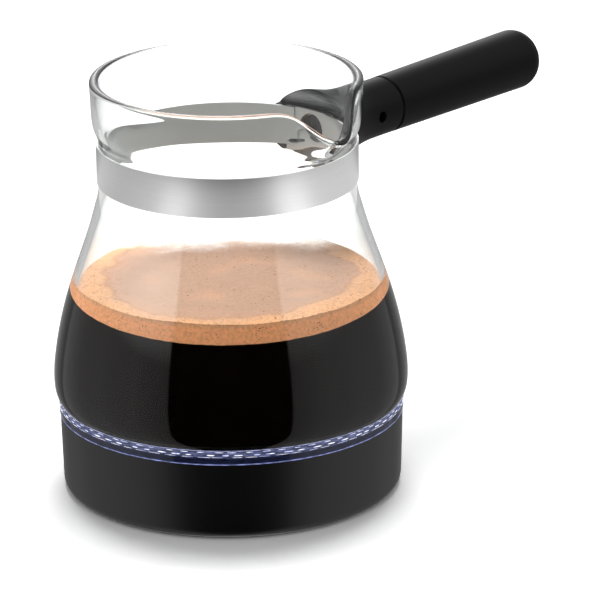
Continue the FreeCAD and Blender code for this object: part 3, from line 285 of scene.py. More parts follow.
def new_material(name):
    """An empty node material, with its tree and the object's own coordinates in metres."""
    material = bpy.data.materials.new(name)
    material.use_nodes = True
    material.node_tree.nodes.clear()
    place = add_node(material.node_tree, "ShaderNodeTexCoord").outputs["Object"]
    return material, material.node_tree, place


def moulded(name, dark, light, grain_mm, settings, bump_mm):
    """A moulded, drawn or stamped finish: two near colours, and a fine grain in relief."""
    material, tree, place = new_material(name)
    cloud = add_node(tree, "ShaderNodeTexNoise", {
        "Scale": 1 / (MOTTLE_GRAINS * grain_mm * MM), "Detail": 3.0}, {"Vector": place})
    grain = add_node(tree, "ShaderNodeTexNoise", {"Scale": 1 / (grain_mm * MM), "Detail": 2.0},
                     {"Vector": place})
    colour = add_node(tree, "ShaderNodeMix", {
        "data_type": "RGBA", 6: linear(dark), 7: linear(light)}, {0: cloud.outputs[0]})
    relief = add_node(tree, "ShaderNodeBump", {
        "Strength": RELIEF_STRENGTH, "Distance": bump_mm * MM}, {"Height": grain.outputs[0]})
    body = add_node(tree, "ShaderNodeBsdfPrincipled", settings,
                    {"Base Color": colour.outputs[2], "Normal": relief.outputs[0]})
    add_node(tree, "ShaderNodeOutputMaterial", {}, {"Surface": body.outputs[0]})
    return material


satin_abs = moulded("satin_black_abs", "#0E0C0D", "#111011", 0.12,
                    {"Roughness": 0.34, "IOR": 1.53}, 0.004)
base = dressed_copy("base_housing", "base_housing_shell", satin_abs)
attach(base, "pot")
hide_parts("base_housing")

# Light ring: a clear acrylic collar between the base and the glass, lit from inside by white
# lamps. It glows pale blue-violet above, stays dark below, and the lamps show in its steps as
# rows of short bright dashes.
RING_STEP = 4.7
RING_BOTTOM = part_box("light_ring")[1].z - RING_STEP * MM
RING_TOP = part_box("light_ring")[1].z
RING_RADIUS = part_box("light_ring")[1].x
RING_FLARE = 0.2 * MM
STREAK_SCALE = (16.0, 1600.0, 1.0)
DASH_COUNT = 68
DASH_INSET = 0.02 * MM
DASH_DEPTH = 0.16 * MM
DASH_TURN = 0.02
# Each row: name, rise, width and length in mm, phase as a share of the pitch, seed.
DASH_ROWS = (("upper", 4.1, 0.2, 2.5, 0.0, 3), ("lower", 3.15, 0.34, 2.7, 0.5, 8),
             ("trail", 2.5, 0.1, 4.4, 0.1, 5))

glow, glow_tree, glow_place = new_material("lit_clear_acrylic")
glow_polar = add_node(glow_tree, "ShaderNodeSeparateXYZ", {}, {0: glow_place})
glow_height = add_node(glow_tree, "ShaderNodeMapRange", {
    "From Min": RING_BOTTOM, "From Max": RING_TOP}, {"Value": glow_polar.outputs["Z"]})
glow_angle = add_node(glow_tree, "ShaderNodeMath", {"operation": "ARCTAN2"},
                      {0: glow_polar.outputs["Y"], 1: glow_polar.outputs["X"]})
glow_round = add_node(glow_tree, "ShaderNodeCombineXYZ", {},
                      {"X": glow_angle.outputs[0], "Y": glow_polar.outputs["Z"]})
streak_place = add_node(glow_tree, "ShaderNodeMapping", {"Scale": STREAK_SCALE},
                        {"Vector": glow_round.outputs[0]})
streaks = add_node(glow_tree, "ShaderNodeTexNoise", {
    "Scale": 1.0, "Detail": 3.0, "Roughness": 0.65}, {"Vector": streak_place.outputs[0]})
glow_colour = add_node(glow_tree, "ShaderNodeValToRGB", {"stops": (
    (0.0, linear("#8F99D6")), (0.05, linear("#8891CC")), (0.085, linear("#161A33")),
    (0.40, linear("#131629")), (0.47, linear("#30354F")), (0.60, linear("#565C80")),
    (0.90, linear("#5D6389")), (0.93, linear("#23273F")), (0.965, linear("#B4BBE4")),
    (1.0, linear("#A2AADB")))}, {0: glow_height.outputs["Result"]})
streak_share = add_node(glow_tree, "ShaderNodeMapRange", {
    "From Min": 0.40, "From Max": 0.62, "To Min": 0.35, "To Max": 1.3},
    {"Value": streaks.outputs[0]})
glow_mixed = add_node(glow_tree, "ShaderNodeVectorMath", {"operation": "SCALE"},
                      {0: glow_colour.outputs[0], "Scale": streak_share.outputs[0]})
glow_body = add_node(glow_tree, "ShaderNodeBsdfPrincipled", {
    "Base Color": linear("#0C0E18"), "Roughness": 0.08, "IOR": 1.49, "Emission Strength": 1.0},
    {"Emission Color": glow_mixed.outputs[0]})
add_node(glow_tree, "ShaderNodeOutputMaterial", {}, {"Surface": glow_body.outputs[0]})
ring = dressed_copy("light_ring", "light_ring_acrylic", glow)
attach(ring, "pot")
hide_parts("light_ring")

dash_light, dash_tree, dash_place = new_material("lamp_glint")
dash_noise = add_node(dash_tree, "ShaderNodeTexNoise", {"Scale": 400.0, "Detail": 1.0},
                      {"Vector": dash_place})
dash_colour = add_node(dash_tree, "ShaderNodeValToRGB", {"stops": (
    (0.38, linear("#9AA2D2")), (0.56, linear("#FFFFFF")))}, {0: dash_noise.outputs[0]})
dash_body = add_node(dash_tree, "ShaderNodeBsdfPrincipled", {
    "Base Color": linear("#C8CCF0"), "Roughness": 0.3, "Emission Strength": 1.0},
    {"Emission Color": dash_colour.outputs[0]})
add_node(dash_tree, "ShaderNodeOutputMaterial", {}, {"Surface": dash_body.outputs[0]})


def node_group(name, inputs):
    """An empty Geometry Nodes tree with named size inputs, and its input and output nodes."""
    tree = bpy.data.node_groups.new(name, "GeometryNodeTree")
    tree.interface.new_socket("Geometry", in_out="INPUT", socket_type="NodeSocketGeometry")
    for label, kind in inputs:
        tree.interface.new_socket(label, in_out="INPUT", socket_type=kind)
    tree.interface.new_socket("Geometry", in_out="OUTPUT", socket_type="NodeSocketGeometry")
    given = add_node(tree, "NodeGroupInput").outputs
    return tree, given, add_node(tree, "NodeGroupOutput").inputs[0]


def grown(name, tree, values, material, start=None):
    """The plain mesh that a tree makes of these input values, as a new object."""
    holder = bpy.data.objects.new(name, start or bpy.data.meshes.new(name + "_seed"))
    bpy.context.scene.collection.objects.link(holder)
    modifier = holder.modifiers.new(name, "NODES")
    modifier.node_group = tree
    sockets = {item.name: item.identifier for item in tree.interface.items_tree
               if getattr(item, "in_out", "") == "INPUT"}
    for label, value in values.items():
        modifier[sockets[label]] = value
    graph = bpy.context.evaluated_depsgraph_get()
    plain = bpy.data.meshes.new_from_object(holder.evaluated_get(graph))
    holder.modifiers.clear()
    holder.data = plain
    if not plain.materials:
        plain.materials.append(material)
    for face in plain.polygons:
        face.use_smooth = True
    return holder


dash_group, sizes, dash_out = node_group("dash_row", (
    ("Count", "NodeSocketInt"), ("Radius", "NodeSocketFloat"), ("Height", "NodeSocketFloat"),
    ("Length", "NodeSocketFloat"), ("Width", "NodeSocketFloat"), ("Phase", "NodeSocketFloat"),
    ("Seed", "NodeSocketInt")))
dash_circle = add_node(dash_group, "GeometryNodeMeshCircle", {},
                       {"Vertices": sizes["Count"], "Radius": sizes["Radius"]})
dash_lift = add_node(dash_group, "ShaderNodeCombineXYZ", {}, {"Z": sizes["Height"]})
dash_round = add_node(dash_group, "ShaderNodeCombineXYZ", {}, {"Z": sizes["Phase"]})
dash_raised = add_node(dash_group, "GeometryNodeTransform", {},
                       {"Geometry": dash_circle.outputs[0], "Translation": dash_lift.outputs[0],
                        "Rotation": dash_round.outputs[0]})
dash_at = add_node(dash_group, "GeometryNodeInputPosition")
dash_jitter = add_node(dash_group, "FunctionNodeRandomValue", {
    "data_type": "FLOAT_VECTOR", 0: (0.0, 0.0, -DASH_TURN), 1: (0.0, 0.0, DASH_TURN)},
    {"Seed": sizes["Seed"]})
dash_flat = add_node(dash_group, "ShaderNodeVectorMath", {
    "operation": "MULTIPLY", 1: (1.0, 1.0, 0.0)}, {0: dash_at.outputs[0]})
dash_facing = add_node(dash_group, "FunctionNodeAlignEulerToVector", {"axis": "Y"},
                       {"Vector": dash_flat.outputs[0]})
dash_bead = add_node(dash_group, "GeometryNodeMeshUVSphere",
                     {"Segments": 12, "Rings": 6, "Radius": 0.5})
dash_stretch = add_node(dash_group, "FunctionNodeRandomValue",
                        {"data_type": "FLOAT_VECTOR", 0: (0.65, 1.0, 0.8), 1: (1.15, 1.0, 1.1)},
                        {"Seed": sizes["Seed"]})
dash_size = add_node(dash_group, "ShaderNodeCombineXYZ", {"Y": DASH_DEPTH},
                     {"X": sizes["Length"], "Z": sizes["Width"]})
dash_scale = add_node(dash_group, "ShaderNodeVectorMath", {"operation": "MULTIPLY"},
                      {0: dash_stretch.outputs[0], 1: dash_size.outputs[0]})
dash_spread = add_node(dash_group, "GeometryNodeInstanceOnPoints", {},
                       {"Points": dash_raised.outputs[0], "Instance": dash_bead.outputs[0],
                        "Rotation": dash_facing.outputs[0], "Scale": dash_scale.outputs[0]})
dash_turned = add_node(dash_group, "GeometryNodeRotateInstances", {"Local Space": False},
                       {0: dash_spread.outputs[0], "Rotation": dash_jitter.outputs[0]})
dash_real = add_node(dash_group, "GeometryNodeRealizeInstances", {}, {0: dash_turned.outputs[0]})
dash_coloured = add_node(dash_group, "GeometryNodeSetMaterial", {"Material": dash_light},
                         {0: dash_real.outputs[0]})
dash_group.links.new(dash_coloured.outputs[0], dash_out)
for row, rise, width, length, phase, seed in DASH_ROWS:
    dashes = grown("lamp_dashes_" + row, dash_group, {
        "Count": DASH_COUNT, "Phase": phase * 2 * math.pi / DASH_COUNT,
        "Radius": RING_RADIUS - RING_FLARE * (1 - rise / RING_STEP) - DASH_INSET,
        "Height": RING_BOTTOM + rise * MM, "Length": length * MM, "Width": width * MM,
        "Seed": seed}, dash_light)
    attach(dashes, "pot")

# Glass jar: blown borosilicate glass, wide at the belly and narrow at the neck, with a
# fire-polished rim and a spout pulled out of the rim while it was soft. Its foot is bonded to
# the heated plate. All its faces are smooth, and it is nearly colourless.
WALL = 2.4
FOOT_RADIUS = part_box("light_ring")[1].x / MM
FOOT_WALL = 2.1
FOOT_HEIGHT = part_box("glass_jar")[0].z / MM
BELLY_HEIGHT = 68.1
NECK_RADIUS = 39.0
NECK_BLEND = 3.5
NECK_TOP = FOOT_HEIGHT + BELLY_HEIGHT + 12.6
MOUTH_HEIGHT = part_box("glass_jar")[1].z / MM - NECK_TOP
RIM_FLARE = 2.2
RIM_WALL = 2.9
BELLY_SHARES = ((0.021, 1.058), (0.060, 1.098), (0.148, 1.087), (0.266, 1.000), (0.398, 0.862),
                (0.530, 0.667), (0.670, 0.420), (0.794, 0.210), (0.883, 0.094))
MOUTH_SHARES = ((0, 0), (0.1, 0), (0.22, 0.62), (0.45, 0.84), (0.75, 0.88))
SPOUT_HALF_ANGLE = 38.0
SPOUT_PUSH = 5.2
SPOUT_PUSH_SHARPNESS = 3.6
SPOUT_DIP = 10.8
SPOUT_DIP_SHARPNESS = 2.6
JAR_SEGMENTS = 288
OUTER_STEPS = 72
INNER_STEPS = 64
MOUTH_STEPS = 96
JOIN_STEPS = 6
TURNED_WELD = 0.002 * MM


def finished(name, mesh, material):
    """A new object of a turned bmesh, its doubles merged and its faces outwards."""
    bmesh.ops.remove_doubles(mesh, verts=mesh.verts, dist=TURNED_WELD)
    bmesh.ops.recalc_face_normals(mesh, faces=mesh.faces)
    return shaded(name, mesh, material)


def smooth_line(poles, steps):
    """Points along a clamped cubic spline through these (radius, height) poles' net."""
    spans = len(poles) - 3
    knots = [0.0] * 3 + [float(knot) for knot in range(spans + 1)] + [float(spans)] * 3
    points = []
    for step in range(steps + 1):
        at = spans * step / steps
        span = min(int(at), spans - 1) + 3
        work = [Vector(poles[span - 3 + j]) for j in range(4)]
        for level in range(1, 4):
            for j in range(3, level - 1, -1):
                low = knots[span - 3 + j]
                high = knots[span + 1 + j - level]
                work[j] = work[j - 1].lerp(work[j], (at - low) / (high - low))
        points.append(work[3])
    return points


def belly_line(inset, foot_inset, steps):
    """The belly's wall line from the foot to the neck, moved inwards by inset."""
    poles = [(FOOT_RADIUS - foot_inset, FOOT_HEIGHT)]
    poles += [(NECK_RADIUS + (FOOT_RADIUS - NECK_RADIUS) * swell - inset,
               FOOT_HEIGHT + BELLY_HEIGHT * up) for up, swell in BELLY_SHARES]
    poles += [(NECK_RADIUS - inset, FOOT_HEIGHT + BELLY_HEIGHT - NECK_BLEND),
              (NECK_RADIUS - inset, FOOT_HEIGHT + BELLY_HEIGHT)]
    return smooth_line(poles, steps)


def mouth_line(steps):
    """One line up the outer wall, over the rim and down the inner wall, above the neck."""
    bead = RIM_WALL / 2
    top = NECK_TOP + MOUTH_HEIGHT
    outer = [(NECK_RADIUS + RIM_FLARE * bulge, NECK_TOP + (MOUTH_HEIGHT - bead) * up)
             for up, bulge in MOUTH_SHARES]
    rim_radius = NECK_RADIUS + RIM_FLARE
    rim = [(rim_radius, top - bead), (rim_radius, top - 0.2 * bead),
           (rim_radius - bead, top + 0.1 * bead),
           (rim_radius - RIM_WALL, top - 0.2 * bead), (rim_radius - RIM_WALL, top - bead)]
    inner = [(radius - WALL, level) for radius, level in reversed(outer)]
    return smooth_line(outer + rim + inner, steps)


def pulled(point):
    """Where a point of the plain mouth goes when the spout is drawn out and down."""
    share = min(abs(math.degrees(math.atan2(point.y, point.x)) + 90) / SPOUT_HALF_ANGLE, 1.0)
    pull = 0.5 + 0.5 * math.cos(math.pi * share)
    up = min(max((point.z - NECK_TOP) / (MOUTH_HEIGHT - RIM_WALL / 2), 0.0), 1.0)
    radius = math.hypot(point.x, point.y)
    stretch = 1 + SPOUT_PUSH * pull ** SPOUT_PUSH_SHARPNESS * up ** 2 / radius
    dip = SPOUT_DIP * pull ** SPOUT_DIP_SHARPNESS * up
    return Vector((point.x * stretch, point.y * stretch, point.z - dip))


def turned(outline, segments, shift=None):
    """A closed bmesh turned about the jar's axis from a closed (radius, height) outline in mm."""
    mesh = bmesh.new()
    rows = []
    for k in range(segments):
        angle = 2 * math.pi * k / segments
        row = []
        for radius, level in outline:
            point = Vector((radius * math.cos(angle), radius * math.sin(angle), level))
            row.append(mesh.verts.new((shift(point) if shift else point) * MM))
        rows.append(row)
    for k, row in enumerate(rows):
        beside = rows[(k + 1) % segments]
        for i in range(len(row)):
            j = (i + 1) % len(row)
            mesh.faces.new((row[i], row[j], beside[j], beside[i]))
    return mesh


def straight(start, end, steps):
    """Even steps along a straight line, without its two ends."""
    return [Vector(start).lerp(Vector(end), k / steps) for k in range(1, steps)]


jar_glass, glass_tree, glass_place = new_material("clear_borosilicate_glass")
glass_wave = add_node(glass_tree, "ShaderNodeTexNoise", {"Scale": 1 / (18 * MM), "Detail": 1.0},
                      {"Vector": glass_place})
glass_relief = add_node(glass_tree, "ShaderNodeBump", {"Strength": 0.12, "Distance": 0.02 * MM},
                        {"Height": glass_wave.outputs[0]})
glass_body = add_node(glass_tree, "ShaderNodeBsdfPrincipled", {
    "Base Color": linear("#FBFDFC"), "Roughness": 0.0, "IOR": 1.47, "Transmission Weight": 1.0},
    {"Normal": glass_relief.outputs[0]})
glass_through = add_node(glass_tree, "ShaderNodeBsdfTransparent", {"Color": grey(0.94)})
glass_path = add_node(glass_tree, "ShaderNodeLightPath")
glass_mix = add_node(glass_tree, "ShaderNodeMixShader", {}, {
    0: glass_path.outputs["Is Shadow Ray"], 1: glass_body.outputs[0], 2: glass_through.outputs[0]})
add_node(glass_tree, "ShaderNodeOutputMaterial", {}, {"Surface": glass_mix.outputs[0]})

outer_belly = belly_line(0.0, 0.0, OUTER_STEPS)
inner_belly = belly_line(WALL, FOOT_WALL, INNER_STEPS)
mouth = mouth_line(MOUTH_STEPS)
jar_outline = outer_belly + straight(outer_belly[-1], mouth[0], JOIN_STEPS) + mouth
jar_outline += straight(mouth[-1], inner_belly[-1], JOIN_STEPS) + list(reversed(inner_belly))
jar = finished("jar", turned(jar_outline, JAR_SEGMENTS, pulled), jar_glass)
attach(jar, "pot")
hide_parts("glass_jar")

# Coffee: the brew that fills the belly, near black against the glass. It wets the glass, so
# there is no air between them, and its level is uneven: it stands higher where its foam is thin.
WETTING = 0.12
BREW_CLIMB = 2.4
POURED_SIDE = math.radians(-138.5)
COFFEE_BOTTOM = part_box("coffee")[0].z / MM
COFFEE_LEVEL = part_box("coffee")[1].z / MM
COFFEE_STEPS = 40
BREW_SEGMENTS = 192
RIPPLE = 0.12
RIPPLE_PITCH = 0.5
ON_AXIS = 0.01
WALL_STEPS = 400
inner_wall = belly_line(WALL, FOOT_WALL, WALL_STEPS)


def wall_reach(level):
    """How far out the wetted glass stands at a level, in mm."""
    place = next((k for k, point in enumerate(inner_wall) if point.y >= level), WALL_STEPS)
    low, high = inner_wall[max(place - 1, 0)], inner_wall[max(place, 1)]
    return low.x + (high.x - low.x) * (level - low.y) / (high.y - low.y) + WETTING


def brew_level(point):
    """The brew's level at a bearing: lowest on the poured side and opposite it."""
    turn_from_pour = math.atan2(point.y, point.x) - POURED_SIDE
    climb = BREW_CLIMB * (1 - abs(math.cos(turn_from_pour)))
    return COFFEE_LEVEL + climb + RIPPLE * noise.noise(point * RIPPLE_PITCH)


def follow_wall(point, level):
    """The point at a new level; one at the wall stays at the wall."""
    reach = math.hypot(point.x, point.y)
    if reach < ON_AXIS:
        return Vector((point.x, point.y, level))
    wall = wall_reach(level)
    return Vector((point.x * wall / reach, point.y * wall / reach, level))


def brew_shift(point):
    """Where a point of the level brew goes when its level follows brew_level."""
    share = (point.z - COFFEE_BOTTOM) / (COFFEE_LEVEL - COFFEE_BOTTOM)
    if math.hypot(point.x, point.y) < ON_AXIS:
        return point
    return follow_wall(point, COFFEE_BOTTOM + (brew_level(point) - COFFEE_BOTTOM) * share)


brew, brew_tree, brew_place = new_material("brewed_coffee")
brew_cloud = add_node(brew_tree, "ShaderNodeTexNoise", {"Scale": 1 / (9 * MM), "Detail": 2.0},
                      {"Vector": brew_place})
brew_colour = add_node(brew_tree, "ShaderNodeMix", {
    "data_type": "RGBA", 6: linear("#0A0504"), 7: linear("#0D0605")}, {0: brew_cloud.outputs[0]})
brew_body = add_node(brew_tree, "ShaderNodeBsdfPrincipled", {
    "Roughness": 0.1, "IOR": 1.33, "Specular IOR Level": 0.0},
    {"Base Color": brew_colour.outputs[2]})
add_node(brew_tree, "ShaderNodeOutputMaterial", {}, {"Surface": brew_body.outputs[0]})
coffee_levels = [COFFEE_BOTTOM + (COFFEE_LEVEL - COFFEE_BOTTOM) * k / COFFEE_STEPS
                 for k in range(COFFEE_STEPS + 1)]
coffee_outline = [Vector((0, COFFEE_BOTTOM))]
coffee_outline += [Vector((wall_reach(level), level)) for level in coffee_levels]
coffee_outline.append(Vector((0, COFFEE_LEVEL)))
coffee = finished("coffee_brew", turned(coffee_outline, BREW_SEGMENTS, brew_shift), brew)
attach(coffee, "pot")
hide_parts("coffee")

# Foam: the crema that rises on the brew. It is pinkish tan in the middle, deeper orange at the
# wall and down its side, and pale froth on the far side of its top, full of fine bubbles.
FOAM_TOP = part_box("coffee_foam")[1].z / MM
FOAM_RINGS = 90
FOAM_SIDE_STEPS = 8
FOAM_EDGE = 52 * MM
FOAM_DRIFT = 3.5 * MM
FROTH_SIDE = VIEW_AWAY
FROTH_RANGE = (22 * MM, 38 * MM)
FOAM_SIDE_RANGE = (0.2, 1.6)
FOAM_CLIMB = 0.3
FOAM_CLIMB_FROM = 42
FOAM_CLIMB_OVER = 6
FOAM_HEAVE_LIMIT = 0.5
FOAM_SINK = 0.15

foam_skin, foam_tree, foam_place = new_material("coffee_crema")
foam_flat = add_node(foam_tree, "ShaderNodeVectorMath", {
    "operation": "MULTIPLY", 1: (1.0, 1.0, 0.0)}, {0: foam_place})
foam_out = add_node(foam_tree, "ShaderNodeVectorMath", {"operation": "LENGTH"},
                    {0: foam_flat.outputs[0]})
foam_drift = add_node(foam_tree, "ShaderNodeTexNoise", {
    "Scale": 1 / (16 * MM), "Detail": 4.0, "Roughness": 0.55}, {"Vector": foam_place})
foam_shift = add_node(foam_tree, "ShaderNodeMapRange", {
    "From Min": 0.3, "From Max": 0.7, "To Min": -FOAM_DRIFT, "To Max": FOAM_DRIFT},
    {"Value": foam_drift.outputs[0]})
foam_edge = add_node(foam_tree, "ShaderNodeMath", {"operation": "ADD"},
                     {0: foam_out.outputs["Value"], 1: foam_shift.outputs[0]})
foam_band = add_node(foam_tree, "ShaderNodeMapRange", {"From Max": FOAM_EDGE},
                     {"Value": foam_edge.outputs[0]})
foam_top_colour = add_node(foam_tree, "ShaderNodeValToRGB", {"stops": (
    (0.0, linear("#AB8A76")), (0.6, linear("#AE8C77")), (0.72, linear("#B7917A")),
    (0.745, linear("#B58B6F")), (0.77, linear("#CD9F7C")), (0.84, linear("#D8A47B")),
    (1.0, linear("#EBAB7A")))}, {0: foam_band.outputs[0]})
foam_height = add_node(foam_tree, "ShaderNodeSeparateXYZ", {}, {0: foam_place}).outputs["Z"]
foam_side_share = add_node(foam_tree, "ShaderNodeMapRange", {
    "From Min": (FOAM_TOP - FOAM_SIDE_RANGE[0]) * MM,
    "From Max": (FOAM_TOP - FOAM_SIDE_RANGE[1]) * MM}, {"Value": foam_height})
foam_far = add_node(foam_tree, "ShaderNodeVectorMath", {"operation": "DOT_PRODUCT", 1: FROTH_SIDE},
                    {0: foam_place})
foam_far_edge = add_node(foam_tree, "ShaderNodeMath", {"operation": "MULTIPLY_ADD", 1: 1.6},
                         {0: foam_shift.outputs[0], 2: foam_far.outputs["Value"]})
foam_froth = add_node(foam_tree, "ShaderNodeMapRange", {
    "interpolation_type": "SMOOTHSTEP", "From Min": FROTH_RANGE[0], "From Max": FROTH_RANGE[1]},
    {"Value": foam_far_edge.outputs[0]})
foam_pale_top = add_node(foam_tree, "ShaderNodeMix", {"data_type": "RGBA", 7: linear("#F8F3EF")},
                         {0: foam_froth.outputs["Result"], 6: foam_top_colour.outputs[0]})
foam_colour = add_node(foam_tree, "ShaderNodeMix", {"data_type": "RGBA", 7: linear("#FAB07C")},
                       {0: foam_side_share.outputs["Result"], 6: foam_pale_top.outputs[2]})
foam_cells = add_node(foam_tree, "ShaderNodeTexVoronoi", {
    "Scale": 1 / (0.75 * MM), "Randomness": 1.0}, {"Vector": foam_place})
foam_fine = add_node(foam_tree, "ShaderNodeTexNoise", {"Scale": 1 / (0.9 * MM), "Detail": 3.0},
                     {"Vector": foam_place})
foam_patch = add_node(foam_tree, "ShaderNodeTexNoise", {"Scale": 1 / (5 * MM), "Detail": 2.0},
                      {"Vector": foam_place})
hole_limit = add_node(foam_tree, "ShaderNodeMapRange", {
    "From Min": 0.42, "From Max": 0.68, "To Min": 0.02, "To Max": 0.26},
    {"Value": foam_patch.outputs[0]})
hole = add_node(foam_tree, "ShaderNodeMath", {"operation": "LESS_THAN"},
                {0: foam_cells.outputs["Distance"], 1: hole_limit.outputs[0]})
foam_rough = add_node(foam_tree, "ShaderNodeMapRange", {
    "From Min": 0.70, "From Max": 0.84, "To Min": 0.93, "To Max": 0.87},
    {"Value": foam_band.outputs[0]})
foam_speckle = add_node(foam_tree, "ShaderNodeMapRange", {
    "From Min": 0.32, "From Max": 0.62, "To Max": 1.1},
    {"Value": foam_fine.outputs[0], "To Min": foam_rough.outputs["Result"]})
foam_lit = add_node(foam_tree, "ShaderNodeVectorMath", {"operation": "SCALE"},
                    {0: foam_colour.outputs[2], "Scale": foam_speckle.outputs[0]})
foam_holed = add_node(foam_tree, "ShaderNodeMix", {"data_type": "RGBA", 7: linear("#8A5636")},
                      {0: hole.outputs[0], 6: foam_lit.outputs[0]})
foam_relief = add_node(foam_tree, "ShaderNodeBump", {"Strength": 0.6, "Distance": 0.12 * MM},
                       {"Height": foam_cells.outputs["Distance"]})
foam_body = add_node(foam_tree, "ShaderNodeBsdfPrincipled", {
    "Roughness": 0.55, "IOR": 1.33, "Specular IOR Level": 0.2},
    {"Base Color": foam_holed.outputs[2], "Normal": foam_relief.outputs[0]})
add_node(foam_tree, "ShaderNodeOutputMaterial", {}, {"Surface": foam_body.outputs[0]})


def foam_heave(point):
    """The foam's top lies in soft swells, and climbs a little where it meets the wall."""
    if point.z < FOAM_TOP - 0.01:
        share = (point.z - COFFEE_LEVEL) / (FOAM_TOP - COFFEE_LEVEL)
        if point.xy.length < ON_AXIS:
            return point
        level = brew_level(point)
        return follow_wall(point, level + (FOAM_TOP - level) * share)
    reach = math.hypot(point.x, point.y)
    swell = 0.28 * noise.noise(point * 0.09) + 0.1 * noise.noise(point * 0.35)
    climb = FOAM_CLIMB * max(0.0, (reach - FOAM_CLIMB_FROM) / FOAM_CLIMB_OVER) ** 2
    rise = min(swell + climb, FOAM_HEAVE_LIMIT) - FOAM_SINK
    return Vector((point.x, point.y, point.z + rise))


foam_levels = [COFFEE_LEVEL + (FOAM_TOP - COFFEE_LEVEL) * k / FOAM_SIDE_STEPS
               for k in range(FOAM_SIDE_STEPS + 1)]
foam_side = [Vector((wall_reach(level), level)) for level in foam_levels]
foam_top = [Vector((foam_side[-1].x * (1 - k / FOAM_RINGS), FOAM_TOP))
            for k in range(1, FOAM_RINGS + 1)]
foam_outline = [Vector((0, COFFEE_LEVEL))] + foam_side + foam_top
foam = finished("foam_crema", turned(foam_outline, BREW_SEGMENTS, foam_heave), foam_skin)
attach(foam, "pot")
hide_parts("coffee_foam")

# Bubbles and pinholes in the foam: whole bubbles stand up as small domes near the wall, and
# burst ones leave dark pits. Both keep clear of the pale froth on the far side.
BUBBLE_SEED = 4
PINHOLE_SEED = 11
BEAD_LIMIT = 18 * MM
TOP_FACING = 0.5

bubble_skin = moulded("bubble_film", "#C99A76", "#E2BFA4", 0.4,
                      {"Roughness": 0.25, "IOR": 1.33, "Specular IOR Level": 0.4}, 0.01)
pit_skin = moulded("burst_bubble", "#6E3F24", "#8E5A38", 0.3,
                   {"Roughness": 0.6, "Specular IOR Level": 0.1}, 0.01)

scatter_group, sizes, scatter_out = node_group("foam_scatter", (
    ("Density", "NodeSocketFloat"), ("Smallest", "NodeSocketFloat"), ("Largest", "NodeSocketFloat"),
    ("Flatness", "NodeSocketFloat"), ("Seed", "NodeSocketInt"), ("Skin", "NodeSocketMaterial")))
scatter_points = add_node(scatter_group, "GeometryNodeDistributePointsOnFaces", {}, {
    "Mesh": sizes["Geometry"], "Density": sizes["Density"], "Seed": sizes["Seed"]})
scatter_bead = add_node(scatter_group, "GeometryNodeMeshIcoSphere",
                        {"Radius": 1.0, "Subdivisions": 2})
scatter_size = add_node(scatter_group, "FunctionNodeRandomValue", {"data_type": "FLOAT"},
                        {2: sizes["Smallest"], 3: sizes["Largest"], "Seed": sizes["Seed"]})
scatter_low = add_node(scatter_group, "ShaderNodeMath", {"operation": "MULTIPLY"},
                       {0: scatter_size.outputs[1], 1: sizes["Flatness"]})
scatter_scale = add_node(scatter_group, "ShaderNodeCombineXYZ", {}, {
    "X": scatter_size.outputs[1], "Y": scatter_size.outputs[1], "Z": scatter_low.outputs[0]})
scatter_spread = add_node(scatter_group, "GeometryNodeInstanceOnPoints", {}, {
    "Points": scatter_points.outputs["Points"], "Instance": scatter_bead.outputs[0],
    "Rotation": scatter_points.outputs["Rotation"], "Scale": scatter_scale.outputs[0]})
scatter_real = add_node(scatter_group, "GeometryNodeRealizeInstances", {},
                        {0: scatter_spread.outputs[0]})
scatter_skin = add_node(scatter_group, "GeometryNodeSetMaterial", {},
                        {0: scatter_real.outputs[0], "Material": sizes["Skin"]})
scatter_group.links.new(scatter_skin.outputs[0], scatter_out)


def foam_patch_mesh(name, inner, outer):
    """The part of the foam's top between two radii, to scatter bubbles on."""
    mesh = bmesh.new()
    mesh.from_mesh(foam.data)
    away = []
    for face in mesh.faces:
        middle = face.calc_center_median()
        on_ring = inner < math.hypot(*middle.xy) / MM < outer
        if face.normal.z < TOP_FACING or not on_ring or middle.dot(FROTH_SIDE) > BEAD_LIMIT:
            away.append(face)
    bmesh.ops.delete(mesh, geom=away, context="FACES")
    data = bpy.data.meshes.new(name)
    mesh.to_mesh(data)
    mesh.free()
    return data


for name, inner, outer, values, skin in (
        ("rim_bubbles", 40.0, 47.6, {
            "Density": 380000.0, "Smallest": 0.14 * MM, "Largest": 0.42 * MM,
            "Flatness": 0.55, "Seed": BUBBLE_SEED}, bubble_skin),
        ("centre_pits", 2.0, 46.0, {
            "Density": 22000.0, "Smallest": 0.14 * MM, "Largest": 0.32 * MM,
            "Flatness": 0.25, "Seed": PINHOLE_SEED}, pit_skin)):
    beads = grown(name, scatter_group, dict(values, Skin=skin), skin,
                  foam_patch_mesh(name, inner, outer))
    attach(beads, "pot")

# Neck band and bracket: a strip of stainless steel drawn round the neck, closed on the handle's
# side by a stamped plate with a round dish for the screw's head. Both are brushed round the
# neck, which spreads the lights into tall soft bands.
brushed, brushed_tree, brushed_place = new_material("brushed_stainless_steel")
brush_stretch = add_node(brushed_tree, "ShaderNodeMapping", {"Scale": (60.0, 60.0, 9000.0)},
                         {"Vector": brushed_place})
brush_lines = add_node(brushed_tree, "ShaderNodeTexNoise", {
    "Scale": 1.0, "Detail": 4.0, "Roughness": 0.7}, {"Vector": brush_stretch.outputs[0]})
brush_tone = add_node(brushed_tree, "ShaderNodeMix", {
    "data_type": "RGBA", 6: linear("#C2C2C2"), 7: linear("#DADADA")}, {0: brush_lines.outputs[0]})
brush_relief = add_node(brushed_tree, "ShaderNodeBump", {"Strength": 0.25, "Distance": 0.006 * MM},
                        {"Height": brush_lines.outputs[0]})
brush_round = add_node(brushed_tree, "ShaderNodeTangent", {"direction_type": "RADIAL", "axis": "Z"})
